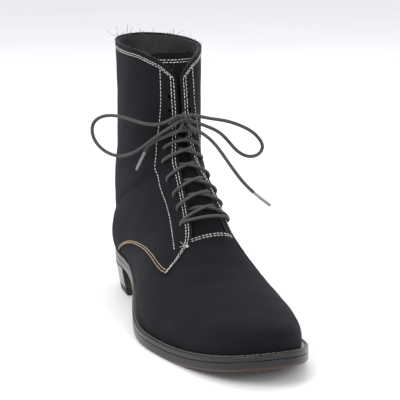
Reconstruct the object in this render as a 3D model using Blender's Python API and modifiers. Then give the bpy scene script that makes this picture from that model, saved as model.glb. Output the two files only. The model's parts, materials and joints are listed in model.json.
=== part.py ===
"""Lace-up derby boot for the right foot, standing empty on its sole.

Metres, +Z up, +Y towards the toe, +X to the boot's outer (lateral) side. The origin is the
middle of the heel's tread. The upper is one surface function, a row of ribs that run from the
boot's front line to the sole's edge; wall, quarters, tongue and laces are all taken from it.
"""

import bmesh
import bpy
import numpy as np

# Driving dimensions
SOLE_LENGTH = 0.305
BALL_WIDTH = 0.104
HEEL_CENTRE = 0.033
HEEL_HEIGHT = 0.024
HEEL_LENGTH = 0.062
LIFT_THICKNESS = 0.006
TOE_SPRING = 0.014
OUTSOLE_THICKNESS = 0.0065
WELT_THICKNESS = 0.0035
WELT_LEDGE = 0.0045
HEEL_LEDGE = 0.0015
INSOLE_THICKNESS = 0.0050
INSTEP_HEIGHT = 0.070
SHAFT_HEIGHT = 0.178
SHAFT_WIDTH = 0.066
WALL = 0.0020
QUARTER_STEP = 0.0009
QUARTER_SINK = 0.0011
TONGUE_THICKNESS = 0.0016
TONGUE_CLEARANCE = 0.0012
SEAM_GAP = 0.0003
EDGE_ROUND = 0.0012
LACE_DIAMETER = 0.0027
LACE_CLEARANCE = 0.0008
TIP_DIAMETER = 0.0024
TIP_LENGTH = 0.016
KNOT_WIDTH = 0.0105
KNOT_DEPTH = 0.72
KNOT_HEIGHT = 0.86
CROSSING_LIFT = 0.002
WAIST_BEVEL = 0.004
WELT_GRIP = 0.0006
INSOLE_CLEARANCE = 0.0010
HEEL_TAPER = 0.004

# Stations along the sole and the surface
SOLE_STATIONS = 28
RIB_STEP = 0.5
SIDE_COLUMNS = 10
THROAT_COLUMNS = 3
UPPER_ROWS = 30
QUARTER_COLUMNS = 12
QUARTER_TIP_ROWS = 9
QUARTER_ROWS = 24
TONGUE_ROWS = 22
TONGUE_COLUMNS = 9

# Small shares of the surface and settings of the modelling steps
COLLAR_TUCK = 0.06
CORD_POINT_SPACING = 2.4
FACING_LIP = 0.006
HEEL_BLEND = 1.8
HEEL_BLEND_START = (8.5, 12.0)
HEEL_BLEND_SAMPLES = 9
HEEL_BLEND_FALL = 0.8
WAIST_START = (0.20, 0.34)
WAIST_END = (0.44, 0.56)
ARCH = (0.22, 0.60)
SPRING_START = 0.71
SPRING_POWER = 1.8
LEDGE_GROWTH = (0.30, 0.58)
EDGE_SAMPLE = 0.001
SURFACE_SAMPLE = (0.02, 0.004)
CROSSING_POINTS = ((1.0, 0.0), (0.72, 0.0), (0.42, 0.5))
TONGUE_TOP_SHARE = 0.14
HEM_CLEARANCE = 0.5
ROUTE_FINENESS = 12
LEAD_SHIFT = (0.21, 0.004)
KNOT_BACK = (0.0013, -0.0056, -0.0013)
EPSILON = 0.001
MERGE_DISTANCE = 0.0001
SHARP_ANGLE = 0.7

# The sole's outline: share of sole length, then half widths as shares of ball width
OUTLINE = (
    # along, lateral, medial
    (0.000, 0.000, 0.000),
    (0.030, 0.185, -0.185),
    (0.080, 0.280, -0.270),
    (0.160, 0.325, -0.310),
    (0.270, 0.335, -0.285),
    (0.380, 0.385, -0.235),
    (0.470, 0.465, -0.240),
    (0.550, 0.515, -0.310),
    (0.620, 0.520, -0.385),
    (0.700, 0.480, -0.440),
    (0.780, 0.420, -0.455),
    (0.860, 0.345, -0.425),
    (0.920, 0.265, -0.360),
    (0.965, 0.165, -0.280),
    (0.990, 0.040, -0.190),
    (1.000, -0.080, -0.080),
)

# Ribs of the foot. low, top, nose and lean: shares of sole length. crest and rise: shares of
# instep height. ridge, reach and flare: shares of ball width.
FOOT_RIBS = (
    # low, top, crest, ridge, reach lat, reach med, nose, flare lat, flare med, lean, rise
    (1.000, 0.958, 0.26, -0.080, 0.000, 0.000, 0.022, 0.000, 0.000, 0.006, 0.13),
    (0.988, 0.955, 0.27, -0.080, 0.090, 0.080, 0.018, 0.005, 0.005, 0.004, 0.14),
    (0.955, 0.942, 0.30, -0.080, 0.170, 0.150, 0.010, 0.010, 0.005, 0.002, 0.17),
    (0.895, 0.895, 0.39, -0.080, 0.240, 0.205, 0.004, 0.015, 0.005, 0.000, 0.24),
    (0.815, 0.820, 0.50, -0.080, 0.295, 0.240, 0.000, 0.020, 0.005, 0.000, 0.33),
    (0.735, 0.740, 0.60, -0.080, 0.320, 0.255, 0.000, 0.025, 0.005, 0.000, 0.40),
    (0.655, 0.665, 0.71, -0.080, 0.320, 0.260, 0.000, 0.020, 0.005, 0.000, 0.46),
    (0.570, 0.610, 0.84, -0.080, 0.300, 0.255, 0.000, 0.020, 0.010, 0.005, 0.50),
    (0.480, 0.568, 0.99, -0.075, 0.275, 0.250, 0.000, 0.025, 0.020, 0.015, 0.52),
    (0.390, 0.532, 1.11, -0.065, 0.265, 0.250, 0.000, 0.040, 0.030, 0.030, 0.50),
    (0.290, 0.500, 1.21, -0.055, 0.265, 0.250, 0.000, 0.070, 0.045, 0.045, 0.45),
    (0.190, 0.472, 1.29, -0.045, 0.275, 0.265, 0.000, 0.105, 0.080, 0.030, 0.43),
    (0.100, 0.450, 1.350, -0.036, 0.290, 0.280, 0.000, 0.150, 0.125, 0.005, 0.43),
    (0.035, 0.431, 1.40, -0.028, 0.305, 0.300, 0.000, 0.235, 0.200, -0.010, 0.43),
)

# Ribs of the shaft. climb, crest and up: shares of shaft height. back and top: shares of sole
# length. ridge: share of ball width. reach and flare: shares of shaft width.
SHAFT_RIBS = (
    # climb, back, top, crest, ridge, reach, flare lat, flare med, up
    (0.00, 0.000, 0.415, 0.495, -0.022, 0.51, 0.70, 0.62, 0.16),
    (0.09, -0.010, 0.404, 0.540, -0.018, 0.52, 0.74, 0.66, 0.12),
    (0.20, -0.012, 0.397, 0.592, -0.014, 0.53, 0.72, 0.66, 0.07),
    (0.34, 0.000, 0.391, 0.655, -0.010, 0.54, 0.69, 0.65, 0.03),
    (0.50, 0.018, 0.387, 0.725, -0.006, 0.56, 0.64, 0.62, 0.00),
    (0.68, 0.033, 0.384, 0.803, -0.003, 0.58, 0.63, 0.63, 0.00),
    (0.84, 0.041, 0.381, 0.882, 0.000, 0.60, 0.63, 0.63, 0.00),
    (1.00, 0.044, 0.378, 0.961, 0.000, 0.62, 0.63, 0.63, 0.00),
)
FIRST_SHAFT_RIB = len(FOOT_RIBS)
LAST_RIB = len(FOOT_RIBS) + len(SHAFT_RIBS) - 1
THROAT_RIB = 7.7

# Lines drawn on the surface, by rib number and by share of the way down the rib
FACING = (
    # rib, share where the facing's front edge lies
    (0.0, 0.22),
    (7.7, 0.21),
    (9.7, 0.155),
    (11.8, 0.10),
    (13.75, 0.07),
    (16.7, 0.035),
    (18.7, 0.022),
    (21.0, 0.022),
)
COLLAR = (
    # share down the rib, ribs that the collar lies below the last one
    (0.00, 1.55),
    (0.06, 0.95),
    (0.14, 0.45),
    (0.32, 0.06),
    (1.00, 0.00),
)
QUARTER_LATERAL = (
    # rib, front edge, lower edge
    (6.65, 0.500, 0.510),
    (7.00, 0.335, 0.545),
    (7.60, 0.222, 0.580),
    (8.20, 0.190, 0.615),
    (9.50, 0.152, 0.725),
    (10.30, 0.128, 0.815),
    (10.80, 0.116, 0.905),
    (11.10, 0.108, 0.975),
)
QUARTER_MEDIAL = (
    # rib, front edge, lower edge
    (6.10, 0.480, 0.490),
    (6.60, 0.335, 0.525),
    (7.50, 0.222, 0.575),
    (8.20, 0.190, 0.615),
    (9.50, 0.152, 0.725),
    (10.30, 0.128, 0.815),
    (10.80, 0.116, 0.905),
    (11.10, 0.108, 0.975),
)
QUARTER_HEM = 0.985
TONGUE = (
    # rib, half width as a share down the rib
    (6.6, 0.26),
    (8.0, 0.32),
    (11.0, 0.28),
    (13.0, 0.22),
    (16.0, 0.25),
    (20.2, 0.25),
    (21.35, 0.20),
)
EYELETS = (
    # rib, share down the rib; from the collar to the throat, the top two unlaced
    (19.30, 0.069),
    (18.35, 0.075),
    (17.40, 0.080),
    (16.45, 0.106),
    (15.45, 0.138),
    (14.25, 0.163),
    (11.90, 0.206),
    (10.45, 0.228),
    (9.50, 0.252),
    (8.55, 0.275),
)
FIRST_LACED = 2

# The bow's cords, as points chosen along each one, in metres
KNOT = (-0.0007, 0.0963, 0.1563)
ROUTES = {
    "lace_loop_lateral": (
        (0.0051, 0.0963, 0.1579),
        (0.0104, 0.0925, 0.1540),
        (0.0178, 0.0858, 0.1506),
        (0.0324, 0.0690, 0.1524),
        (0.0463, 0.0540, 0.1549),
        (0.0538, 0.0476, 0.1526),
        (0.0580, 0.0450, 0.1481),
        (0.0592, 0.0458, 0.1401),
        (0.0547, 0.0527, 0.1299),
        (0.0446, 0.0634, 0.1245),
        (0.0340, 0.0735, 0.1277),
        (0.0254, 0.0800, 0.1347),
        (0.0164, 0.0872, 0.1432),
        (0.0098, 0.0936, 0.1490),
        (0.0046, 0.0976, 0.1533),
    ),
    "lace_loop_medial": (
        (-0.0065, 0.0963, 0.1579),
        (-0.0120, 0.0980, 0.1566),
        (-0.0200, 0.1000, 0.1548),
        (-0.0328, 0.1023, 0.1522),
        (-0.0421, 0.1047, 0.1488),
        (-0.0505, 0.1071, 0.1441),
        (-0.0565, 0.1095, 0.1377),
        (-0.0583, 0.1110, 0.1320),
        (-0.0551, 0.1116, 0.1270),
        (-0.0469, 0.1107, 0.1254),
        (-0.0384, 0.1085, 0.1300),
        (-0.0314, 0.1055, 0.1385),
        (-0.0251, 0.1030, 0.1447),
        (-0.0170, 0.1005, 0.1489),
        (-0.0064, 0.0976, 0.1533),
    ),
    "lace_end_lateral": (
        (0.0012, 0.0957, 0.1514),
        (0.0032, 0.0948, 0.1467),
        (0.0078, 0.0928, 0.1438),
        (0.0150, 0.0850, 0.1395),
        (0.0207, 0.0780, 0.1345),
        (0.0245, 0.0750, 0.1290),
        (0.0267, 0.0737, 0.1240),
        (0.0290, 0.0724, 0.1188),
        (0.0312, 0.0713, 0.1136),
    ),
    "lace_end_medial": (
        (-0.0029, 0.0972, 0.1512),
        (-0.0062, 0.1000, 0.1482),
        (-0.0115, 0.1045, 0.1448),
        (-0.0192, 0.1123, 0.1370),
        (-0.0249, 0.1199, 0.1270),
        (-0.0302, 0.1273, 0.1170),
        (-0.0351, 0.1334, 0.1092),
        (-0.0404, 0.1387, 0.1030),
        (-0.0451, 0.1429, 0.0984),
        (-0.0503, 0.1473, 0.0939),
    ),
}

COLOURS = {
    # name: red, green, blue, roughness
    "cloth": (0.012, 0.012, 0.016, 0.95),
    "sole_leather": (0.035, 0.026, 0.022, 0.35),
    "rubber": (0.020, 0.019, 0.018, 0.75),
    "insole_leather": (0.210, 0.160, 0.120, 0.60),
    "lace": (0.040, 0.034, 0.032, 0.55),
    "lace_tip": (0.150, 0.150, 0.155, 0.35),
}


# Curves
def spline(xs, ys, x):
    """Natural cubic spline through the points xs, ys, read at x."""
    xs = np.asarray(xs, float)
    ys = np.asarray(ys, float)
    x = np.asarray(x, float)
    count = len(xs)
    step = np.diff(xs)
    slope = np.diff(ys) / step
    matrix = np.eye(count)
    right = np.zeros(count)
    for i in range(1, count - 1):
        matrix[i, i - 1] = step[i - 1]
        matrix[i, i] = 2 * (step[i - 1] + step[i])
        matrix[i, i + 1] = step[i]
        right[i] = 6 * (slope[i] - slope[i - 1])
    bend = np.linalg.solve(matrix, right)
    i = np.clip(np.searchsorted(xs, x) - 1, 0, count - 2)
    d = x - xs[i]
    first = slope[i] - step[i] * (2 * bend[i] + bend[i + 1]) / 6
    return ys[i] + d * first + d**2 * bend[i] / 2 + d**3 * (bend[i + 1] - bend[i]) / (6 * step[i])


def smoothstep(low, high, x):
    """0 below low, 1 above high and a soft S between."""
    s = np.clip((np.asarray(x, float) - low) / (high - low), 0, 1)
    return s * s * (3 - 2 * s)


def column(table, index):
    """One column of a table."""
    return np.array([row[index] for row in table])


def along(table, index, x):
    """A table's column read in straight lines by its first column."""
    return np.interp(x, column(table, 0), column(table, index))


# Sole
def end_share(t):
    """Share of a half turn at which a cosine walk reaches t: it rounds both ends."""
    return np.arccos(1 - 2 * np.clip(t, 0, 1)) / np.pi


def y_at(t):
    """Place along the boot of a share of the sole's length."""
    return -HEEL_CENTRE + SOLE_LENGTH * np.asarray(t, float)


def outline(t, side):
    """Half width of the sole; side is 1 for lateral and -1 for medial."""
    index = 1 if side > 0 else 2
    return BALL_WIDTH * spline(end_share(column(OUTLINE, 0)), column(OUTLINE, index), end_share(t))


def tread_z(t):
    """Height of the outsole's underside: heel seat, arch, flat forefoot and toe spring."""
    arch = HEEL_HEIGHT * (1 - smoothstep(*ARCH, t))
    past = (np.asarray(t, float) - SPRING_START) / (1 - SPRING_START)
    spring = TOE_SPRING * np.clip(past, 0, 1) ** SPRING_POWER
    return arch + spring


def outsole_top(t):
    return tread_z(t) + OUTSOLE_THICKNESS


def welt_top(t):
    return outsole_top(t) + SEAM_GAP + WELT_THICKNESS


def feather_z(t):
    """Height at which the upper starts, just above the welt."""
    return welt_top(t) + SEAM_GAP


def ledge(t):
    """How far the welt stands out from the upper."""
    return HEEL_LEDGE + (WELT_LEDGE - HEEL_LEDGE) * smoothstep(*LEDGE_GROWTH, t)


def inset_edge(t, side, inset):
    """The sole's outline moved inwards along its own normal."""
    t = np.asarray(t, float)
    share = end_share(t)
    near = (1 - np.cos(np.pi * np.clip(share - EDGE_SAMPLE, 0, 1))) / 2
    far = (1 - np.cos(np.pi * np.clip(share + EDGE_SAMPLE, 0, 1))) / 2
    dx = outline(far, side) - outline(near, side)
    dy = y_at(far) - y_at(near)
    length = np.hypot(dx, dy)
    x = outline(t, side) - side * dy / length * inset
    y = y_at(t) + side * dx / length * inset
    return x, y


def stations(first, last, count):
    """Shares of the sole's length, closer together at its round ends."""
    a, b = end_share(first), end_share(last)
    return (1 - np.cos(np.pi * np.linspace(a, b, count))) / 2


# Upper
def ribs(side):
    """For each rib its start on the front line and the handles that leave its two ends."""
    rows = []
    for low, top, crest, ridge, reach_l, reach_m, nose, flare_l, flare_m, lean, rise in FOOT_RIBS:
        reach, flare = (reach_l, flare_l) if side > 0 else (reach_m, flare_m)
        start = (ridge * BALL_WIDTH, y_at(top), feather_z(top) + crest * INSTEP_HEIGHT)
        over = (side * reach * BALL_WIDTH, nose * SOLE_LENGTH, 0)
        out = (side * flare * BALL_WIDTH, lean * SOLE_LENGTH, rise * INSTEP_HEIGHT)
        rows.append((start, over, out))
    for climb, back, top, crest, ridge, reach, flare_l, flare_m, up in SHAFT_RIBS:
        flare = flare_l if side > 0 else flare_m
        start = (ridge * BALL_WIDTH, y_at(top), feather_z(0.0) + crest * SHAFT_HEIGHT)
        over = (side * reach * SHAFT_WIDTH, 0, 0)
        out = (side * flare * SHAFT_WIDTH, 0, up * SHAFT_HEIGHT)
        rows.append((start, over, out))
    return np.array(rows)


RIBS = {side: ribs(side) for side in (1, -1)}


def rib_end(u, side):
    """Where a rib ends: on the sole's feather line up to the heel, then up the back seam."""
    numbers = np.arange(FIRST_SHAFT_RIB + 1)
    shares = end_share(np.append(column(FOOT_RIBS, 0), 0.0))
    share = np.clip(spline(numbers, shares, np.minimum(u, FIRST_SHAFT_RIB)), 0, 1)
    low = (1 - np.cos(np.pi * share)) / 2
    x, y = inset_edge(low, side, ledge(low))
    foot = np.stack([x, y, feather_z(low)], -1)
    higher = np.arange(FIRST_SHAFT_RIB, LAST_RIB + 1)
    shaft_u = np.maximum(u, FIRST_SHAFT_RIB)
    climb = spline(higher, column(SHAFT_RIBS, 0), shaft_u) * SHAFT_HEIGHT
    back = spline(higher, column(SHAFT_RIBS, 1), shaft_u)
    seam = np.stack([0 * u, y_at(back) + HEEL_LEDGE, feather_z(0.0) + climb], -1)
    return np.where((u < FIRST_SHAFT_RIB)[:, None], foot, seam)


def skin(u, v, side):
    """Outer surface of the upper: u counts ribs from the toe, v runs down each rib."""
    u, v = np.broadcast_arrays(np.asarray(u, float), np.asarray(v, float))
    numbers = np.arange(LAST_RIB + 1)
    flat = u.ravel()
    start, over, out = [
        np.stack([spline(numbers, RIBS[side][:, k, axis], flat) for axis in range(3)], -1)
        for k in range(3)
    ]
    s = v.ravel()[:, None]
    reach = HEEL_BLEND * smoothstep(*HEEL_BLEND_START, flat) * (1 - s[:, 0])
    shifts = np.linspace(-1, 1, HEEL_BLEND_SAMPLES)
    weights = 1 - shifts**2 * HEEL_BLEND_FALL
    ends = [w * rib_end(flat + k * reach, side) for k, w in zip(shifts, weights)]
    end = sum(ends) / sum(weights)
    near = (1 - s) ** 3 * start + 3 * s * (1 - s) ** 2 * (start + over)
    far = 3 * s**2 * (1 - s) * (end + out) + s**3 * end
    return (near + far).reshape(u.shape + (3,))


def skin_normal(u, v, side):
    """Unit normal of the skin, pointing out of the boot."""
    u, v = np.broadcast_arrays(np.asarray(u, float), np.asarray(v, float))
    du, dv = SURFACE_SAMPLE
    across = skin(u + du, v, side) - skin(u - du, v, side)
    low, high = np.clip(v - dv, EPSILON, 1), np.clip(v + dv, 0, 1 - EPSILON)
    down = skin(u, high, side) - skin(u, low, side)
    normal = np.cross(across, down) * side
    return normal / np.linalg.norm(normal, axis=-1, keepdims=True)


def above_skin(u, v, side, height):
    return skin(u, v, side) + height * skin_normal(u, v, side)


def collar_rib(u, v):
    """Bends the last ribs down towards the facings, where the collar's corner is cut away."""
    share = smoothstep(FIRST_SHAFT_RIB, LAST_RIB, u)
    return u - along(COLLAR, 1, v) * share


# Meshes
def material(name):
    found = bpy.data.materials.get(name)
    if found:
        return found
    red, green, blue, rough = COLOURS[name]
    made = bpy.data.materials.new(name)
    made.use_nodes = True
    shader = made.node_tree.nodes["Principled BSDF"]
    shader.inputs["Base Color"].default_value = (red, green, blue, 1)
    shader.inputs["Roughness"].default_value = rough
    return made


def mesh_object(name, vertices, faces, colour, collection):
    """A mesh object with doubled vertices merged and its faces turned the same way."""
    mesh = bpy.data.meshes.new(name)
    mesh.from_pydata([tuple(p) for p in vertices], [], faces)
    form = bmesh.new()
    form.from_mesh(mesh)
    bmesh.ops.remove_doubles(form, verts=form.verts, dist=MERGE_DISTANCE)
    bmesh.ops.dissolve_degenerate(form, edges=form.edges, dist=MERGE_DISTANCE)
    loose = [vertex for vertex in form.verts if not vertex.link_faces]
    bmesh.ops.delete(form, geom=loose, context="VERTS")
    bmesh.ops.recalc_face_normals(form, faces=form.faces)
    form.to_mesh(mesh)
    form.free()
    mesh.materials.append(material(colour))
    mesh.shade_smooth()
    mesh.set_sharp_from_angle(angle=SHARP_ANGLE)
    made = bpy.data.objects.new(name, mesh)
    collection.objects.link(made)
    return made


def grid_faces(rows, columns, keep=lambda row, column: True):
    """Quads of a grid whose points are stored row by row."""
    faces = []
    for row in range(rows - 1):
        for col in range(columns - 1):
            if keep(row, col):
                a = row * columns + col
                faces.append((a, a + 1, a + columns + 1, a + columns))
    return faces


def loft(name, rings, colour):
    """A closed solid through rings that run lateral heel to toe and back, from low to high.

    Each ring has one point at the heel, one at the toe and as many on either side, so its
    flat ends close with bars from side to side.
    """
    count = len(rings[0])
    half = count // 2
    vertices = [p for ring in rings for p in ring]
    faces = []
    for layer in range(len(rings) - 1):
        for i in range(count):
            a = layer * count + i
            b = layer * count + (i + 1) % count
            faces.append((a, b, b + count, a + count))
    for start in (0, (len(rings) - 1) * count):
        for i in range(half):
            a, b = start + i, start + i + 1
            c, d = start + (count - i - 1) % count, start + (count - i) % count
            corners = [a, b, c, d] if i else [a, b, c]
            if b == c:
                corners = [a, b, d]
            faces.append(tuple(corners))
    return mesh_object(name, vertices, faces, colour, BOOT)


def sole_ring(inset, height):
    """The sole's outline, set in and lifted; height is a function of the share of length."""
    t = stations(0.0, 1.0, SOLE_STATIONS)
    lateral = np.stack([*inset_edge(t, 1, inset(t)), height(t)], -1)
    medial = np.stack([*inset_edge(t, -1, inset(t)), height(t)], -1)
    return list(lateral) + list(medial[-2:0:-1])


def heel_ring(inset, height):
    """The outline's heel end, closed by a straight breast at the heel's front."""
    breast = HEEL_LENGTH / SOLE_LENGTH
    t = stations(0.0, breast, SOLE_STATIONS // 2)
    level = np.full(t.shape, height)
    lateral = np.stack([*inset_edge(t, 1, inset), level], -1)
    medial = np.stack([*inset_edge(t, -1, inset), level], -1)
    lateral[-1, 1] = medial[-1, 1] = y_at(breast)
    middle = (lateral[-1] + medial[-1]) / 2
    return list(lateral) + [middle] + list(medial[:0:-1])


# Sole pieces
def make_outsole():
    """Leather sole: a bevel under its edge that deepens at the waist, and a straight side."""
    def bevel(t):
        waist = smoothstep(*WAIST_START, t) * (1 - smoothstep(*WAIST_END, t))
        return EDGE_ROUND + WAIST_BEVEL * waist

    rings = [
        sole_ring(bevel, tread_z),
        sole_ring(lambda t: 0 * t, lambda t: tread_z(t) + np.minimum(bevel(t), OUTSOLE_THICKNESS / 2)),
        sole_ring(lambda t: 0 * t, outsole_top),
    ]
    return loft("outsole", rings, "sole_leather")


def make_welt():
    """Ring of leather on the outsole that carries the upper's lower edge."""
    def inner(t):
        return ledge(t) + WALL + WELT_GRIP

    def low(t):
        return outsole_top(t) + SEAM_GAP

    rings = [
        sole_ring(lambda t: 0 * t, low),
        sole_ring(lambda t: 0 * t, welt_top),
        sole_ring(inner, welt_top),
        sole_ring(inner, low),
    ]
    count = len(rings[0])
    vertices = [p for ring in rings for p in ring]
    faces = []
    for layer in range(len(rings)):
        for i in range(count):
            j = (i + 1) % count
            a, b = layer * count, (layer + 1) % len(rings) * count
            faces.append((a + i, a + j, b + j, b + i))
    return mesh_object("welt", vertices, faces, "sole_leather", BOOT)


def make_insole():
    """Board inside the welt, rising a little inside the upper."""
    def edge(t):
        return ledge(t) + WALL + WELT_GRIP + INSOLE_CLEARANCE

    def low(t):
        return outsole_top(t) + SEAM_GAP

    def top(t):
        return low(t) + INSOLE_THICKNESS

    return loft("insole", [sole_ring(edge, low), sole_ring(edge, top)], "insole_leather")


def make_heel():
    """Stacked leather heel that narrows downwards, and the rubber lift under it."""
    stack_top = HEEL_HEIGHT - SEAM_GAP
    stack_low = LIFT_THICKNESS + SEAM_GAP

    def taper(z):
        return HEEL_TAPER * (1 - z / HEEL_HEIGHT)

    loft("heel_stack", [heel_ring(taper(z), z) for z in (stack_low, stack_top)], "sole_leather")
    loft("heel_lift", [heel_ring(taper(z), z) for z in (0.0, LIFT_THICKNESS)], "rubber")


# Upper and tongue
def shell_grid(rows, keep_throat):
    """The skin's points by row and column on both sides, and the faces between them."""
    down = np.concatenate([
        np.linspace(0, 1, THROAT_COLUMNS + 1),
        1 + np.linspace(0, 1, SIDE_COLUMNS + 1)[1:],
    ])
    vertices, faces = [], []
    for side in (1, -1):
        u = rows[:, None] + 0 * down
        edge = along(FACING, 1, u)
        v = np.where(down <= 1, down * edge, edge + (down - 1) * (1 - edge))
        start = len(vertices)
        vertices += list(skin(collar_rib(u, v), v, side).reshape(-1, 3))

        def kept(row, col):
            return col >= THROAT_COLUMNS or rows[row + 1] <= keep_throat

        faces += [
            tuple(start + k for k in face)
            for face in grid_faces(len(rows), len(down), kept)
        ]
    return vertices, faces


def make_upper():
    """One hollow wall, thicker where the quarters lie over the vamp."""
    low_rows = np.arange(0, THROAT_RIB, RIB_STEP)
    high_rows = np.linspace(THROAT_RIB, LAST_RIB - COLLAR_TUCK, UPPER_ROWS)
    rows = np.concatenate([low_rows, high_rows])
    vertices, faces = shell_grid(rows, THROAT_RIB + EPSILON)
    upper = mesh_object("upper", vertices, faces, "cloth", BOOT)
    thicken(upper, WALL, -1.0)
    for side, table in ((1, QUARTER_LATERAL), (-1, QUARTER_MEDIAL)):
        quarter = make_quarter(side, table)
        join = upper.modifiers.new(quarter.name, "BOOLEAN")
        join.operation = "UNION"
        join.solver = "EXACT"
        join.object = quarter
    return upper


def thicken(shell, thickness, offset):
    """Gives an open surface a wall; offset -1 grows it inwards, 1 outwards."""
    wall = shell.modifiers.new("wall", "SOLIDIFY")
    wall.thickness = thickness
    wall.offset = offset
    wall.use_even_offset = True
    wall.use_quality_normals = True


def make_quarter(side, table):
    """A quarter's sheet, half sunk into the vamp's wall, from its tip to the collar."""
    tip, waist = table[0][0], table[-1][0]
    rows = np.concatenate([
        np.linspace(tip, waist, QUARTER_TIP_ROWS),
        np.linspace(waist, LAST_RIB, QUARTER_ROWS)[1:],
    ])
    u = rows[:, None] + np.zeros(QUARTER_COLUMNS)
    front = np.where(u < waist, along(table, 1, u), along(FACING, 1, u) - FACING_LIP)
    hem = np.where(u < FIRST_SHAFT_RIB - HEM_CLEARANCE, QUARTER_HEM, 1.0)
    low = np.where(u < waist, along(table, 2, u), hem)
    v = front + (low - front) * np.linspace(0, 1, QUARTER_COLUMNS)
    points = skin(collar_rib(u, v), v, side)
    faces = grid_faces(len(rows), QUARTER_COLUMNS)
    name = "quarter_lateral" if side > 0 else "quarter_medial"
    quarter = mesh_object(name, points.reshape(-1, 3), faces, "cloth", CUTTERS)
    whole = QUARTER_STEP + QUARTER_SINK
    thicken(quarter, whole, 2 * QUARTER_STEP / whole - 1)
    quarter.hide_render = True
    quarter.display_type = "WIRE"
    return quarter


def make_tongue():
    """Curved tongue behind the facings, from under the vamp to the collar."""
    rows = np.linspace(TONGUE[0][0], TONGUE[-1][0], TONGUE_ROWS)
    across = np.linspace(-1, 1, TONGUE_COLUMNS)
    depth = WALL + TONGUE_CLEARANCE
    vertices = []
    for u in rows:
        half = along(TONGUE, 1, u)
        for share in across:
            side = 1 if share >= 0 else -1
            v = abs(share) * half
            vertices.append(above_skin(collar_rib(u, TONGUE_TOP_SHARE), v, side, -depth))
    tongue = mesh_object("tongue", vertices, grid_faces(len(rows), TONGUE_COLUMNS), "cloth", BOOT)
    thicken(tongue, TONGUE_THICKNESS, -1.0)
    return tongue


# Laces
def tube(name, points, diameter, colour):
    """Round cord through the points."""
    curve = bpy.data.curves.new(name, "CURVE")
    curve.dimensions = "3D"
    curve.bevel_depth = diameter / 2
    curve.bevel_resolution = 2
    curve.use_fill_caps = True
    line = curve.splines.new("POLY")
    line.points.add(len(points) - 1)
    for point, place in zip(line.points, points):
        point.co = (*place, 1)
    curve.materials.append(material(colour))
    made = bpy.data.objects.new(name, curve)
    BOOT.objects.link(made)
    return made


def as_mesh(curve_object):
    """The curve object's tube as a closed mesh object in the cutters' collection."""
    bpy.context.view_layer.update()
    graph = bpy.context.evaluated_depsgraph_get()
    mesh = bpy.data.meshes.new_from_object(curve_object.evaluated_get(graph))
    form = bmesh.new()
    form.from_mesh(mesh)
    bmesh.ops.remove_doubles(form, verts=form.verts, dist=MERGE_DISTANCE)
    form.to_mesh(mesh)
    form.free()
    name = curve_object.name
    place = curve_object.matrix_world.copy()
    bpy.data.objects.remove(curve_object)
    made = bpy.data.objects.new(name, mesh)
    made.matrix_world = place
    CUTTERS.objects.link(made)
    made.hide_render = True
    made.display_type = "WIRE"
    return made


def lace_run(first, second, lift):
    """A lace from lateral eyelet number first to medial eyelet number second."""
    height = QUARTER_STEP + LACE_CLEARANCE + LACE_DIAMETER / 2
    points = []
    for side, number in ((1, first), (-1, second)):
        u, v = EYELETS[number]
        middle_u = (u + EYELETS[second if side > 0 else first][0]) / 2
        for share, rise in CROSSING_POINTS:
            where = collar_rib(middle_u + (u - middle_u) * share, v * share)
            points.append(above_skin(where, v * share, side, height + lift * rise))
    points[3:] = points[:2:-1]
    middle = (EYELETS[first][0] + EYELETS[second][0]) / 2
    points.insert(3, above_skin(middle, 0.0, 1, height + lift))
    return points


def lace_lead():
    """From the top laced eyelets to the back of the knot."""
    u, v = EYELETS[FIRST_LACED]
    height = QUARTER_STEP + LACE_CLEARANCE + LACE_DIAMETER / 2
    u, v = u + LEAD_SHIFT[0], v + LEAD_SHIFT[1]
    feet = [above_skin(collar_rib(u, v), v, side, height) for side in (1, -1)]
    bend = [np.add(KNOT, (side * KNOT_BACK[0], *KNOT_BACK[1:])) for side in (1, -1)]
    return [feet[0], bend[0], bend[1], feet[1]]


def make_lace_bars():
    """The bar at the throat, the crossings and the two leads to the knot, joined."""
    last = len(EYELETS) - 1
    pairs = [(last, last, 0.0)]
    for number in range(FIRST_LACED, last):
        pairs.append((number, number + 1, CROSSING_LIFT))
        pairs.append((number + 1, number, CROSSING_LIFT))
    paths = [lace_run(*pair) for pair in pairs] + [lace_lead()]
    runs = [
        as_mesh(tube(f"lace_run_{i}", path, LACE_DIAMETER, "lace"))
        for i, path in enumerate(paths)
    ]
    bars = bpy.data.objects.new("lace_bars", runs[0].data.copy())
    BOOT.objects.link(bars)
    others = bpy.data.collections.new("lace_runs")
    CUTTERS.children.link(others)
    for run in runs[1:]:
        CUTTERS.objects.unlink(run)
        others.objects.link(run)
    join = bars.modifiers.new("lace_runs", "BOOLEAN")
    join.operation = "UNION"
    join.solver = "EXACT"
    join.operand_type = "COLLECTION"
    join.collection = others
    return bars


def cord_points(route, first, last):
    """Evenly spaced points of the smooth curve through a route, between two lengths of it.

    A last of 0 or less counts back from the route's far end.
    """
    route = np.array(route)
    chord = np.concatenate([[0], np.cumsum(np.linalg.norm(np.diff(route, axis=0), axis=1))])
    fine = np.linspace(0, chord[-1], len(route) * ROUTE_FINENESS)
    curve = np.stack([spline(chord, route[:, axis], fine) for axis in range(3)], -1)
    length = np.concatenate([[0], np.cumsum(np.linalg.norm(np.diff(curve, axis=0), axis=1))])
    start = first if first >= 0 else length[-1] + first
    end = last if last > 0 else length[-1] + last
    count = max(3, int(round((end - start) / (CORD_POINT_SPACING * LACE_DIAMETER))) + 1)
    wanted = np.linspace(start, end, count)
    return np.stack([np.interp(wanted, length, curve[:, axis]) for axis in range(3)], -1)


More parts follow.
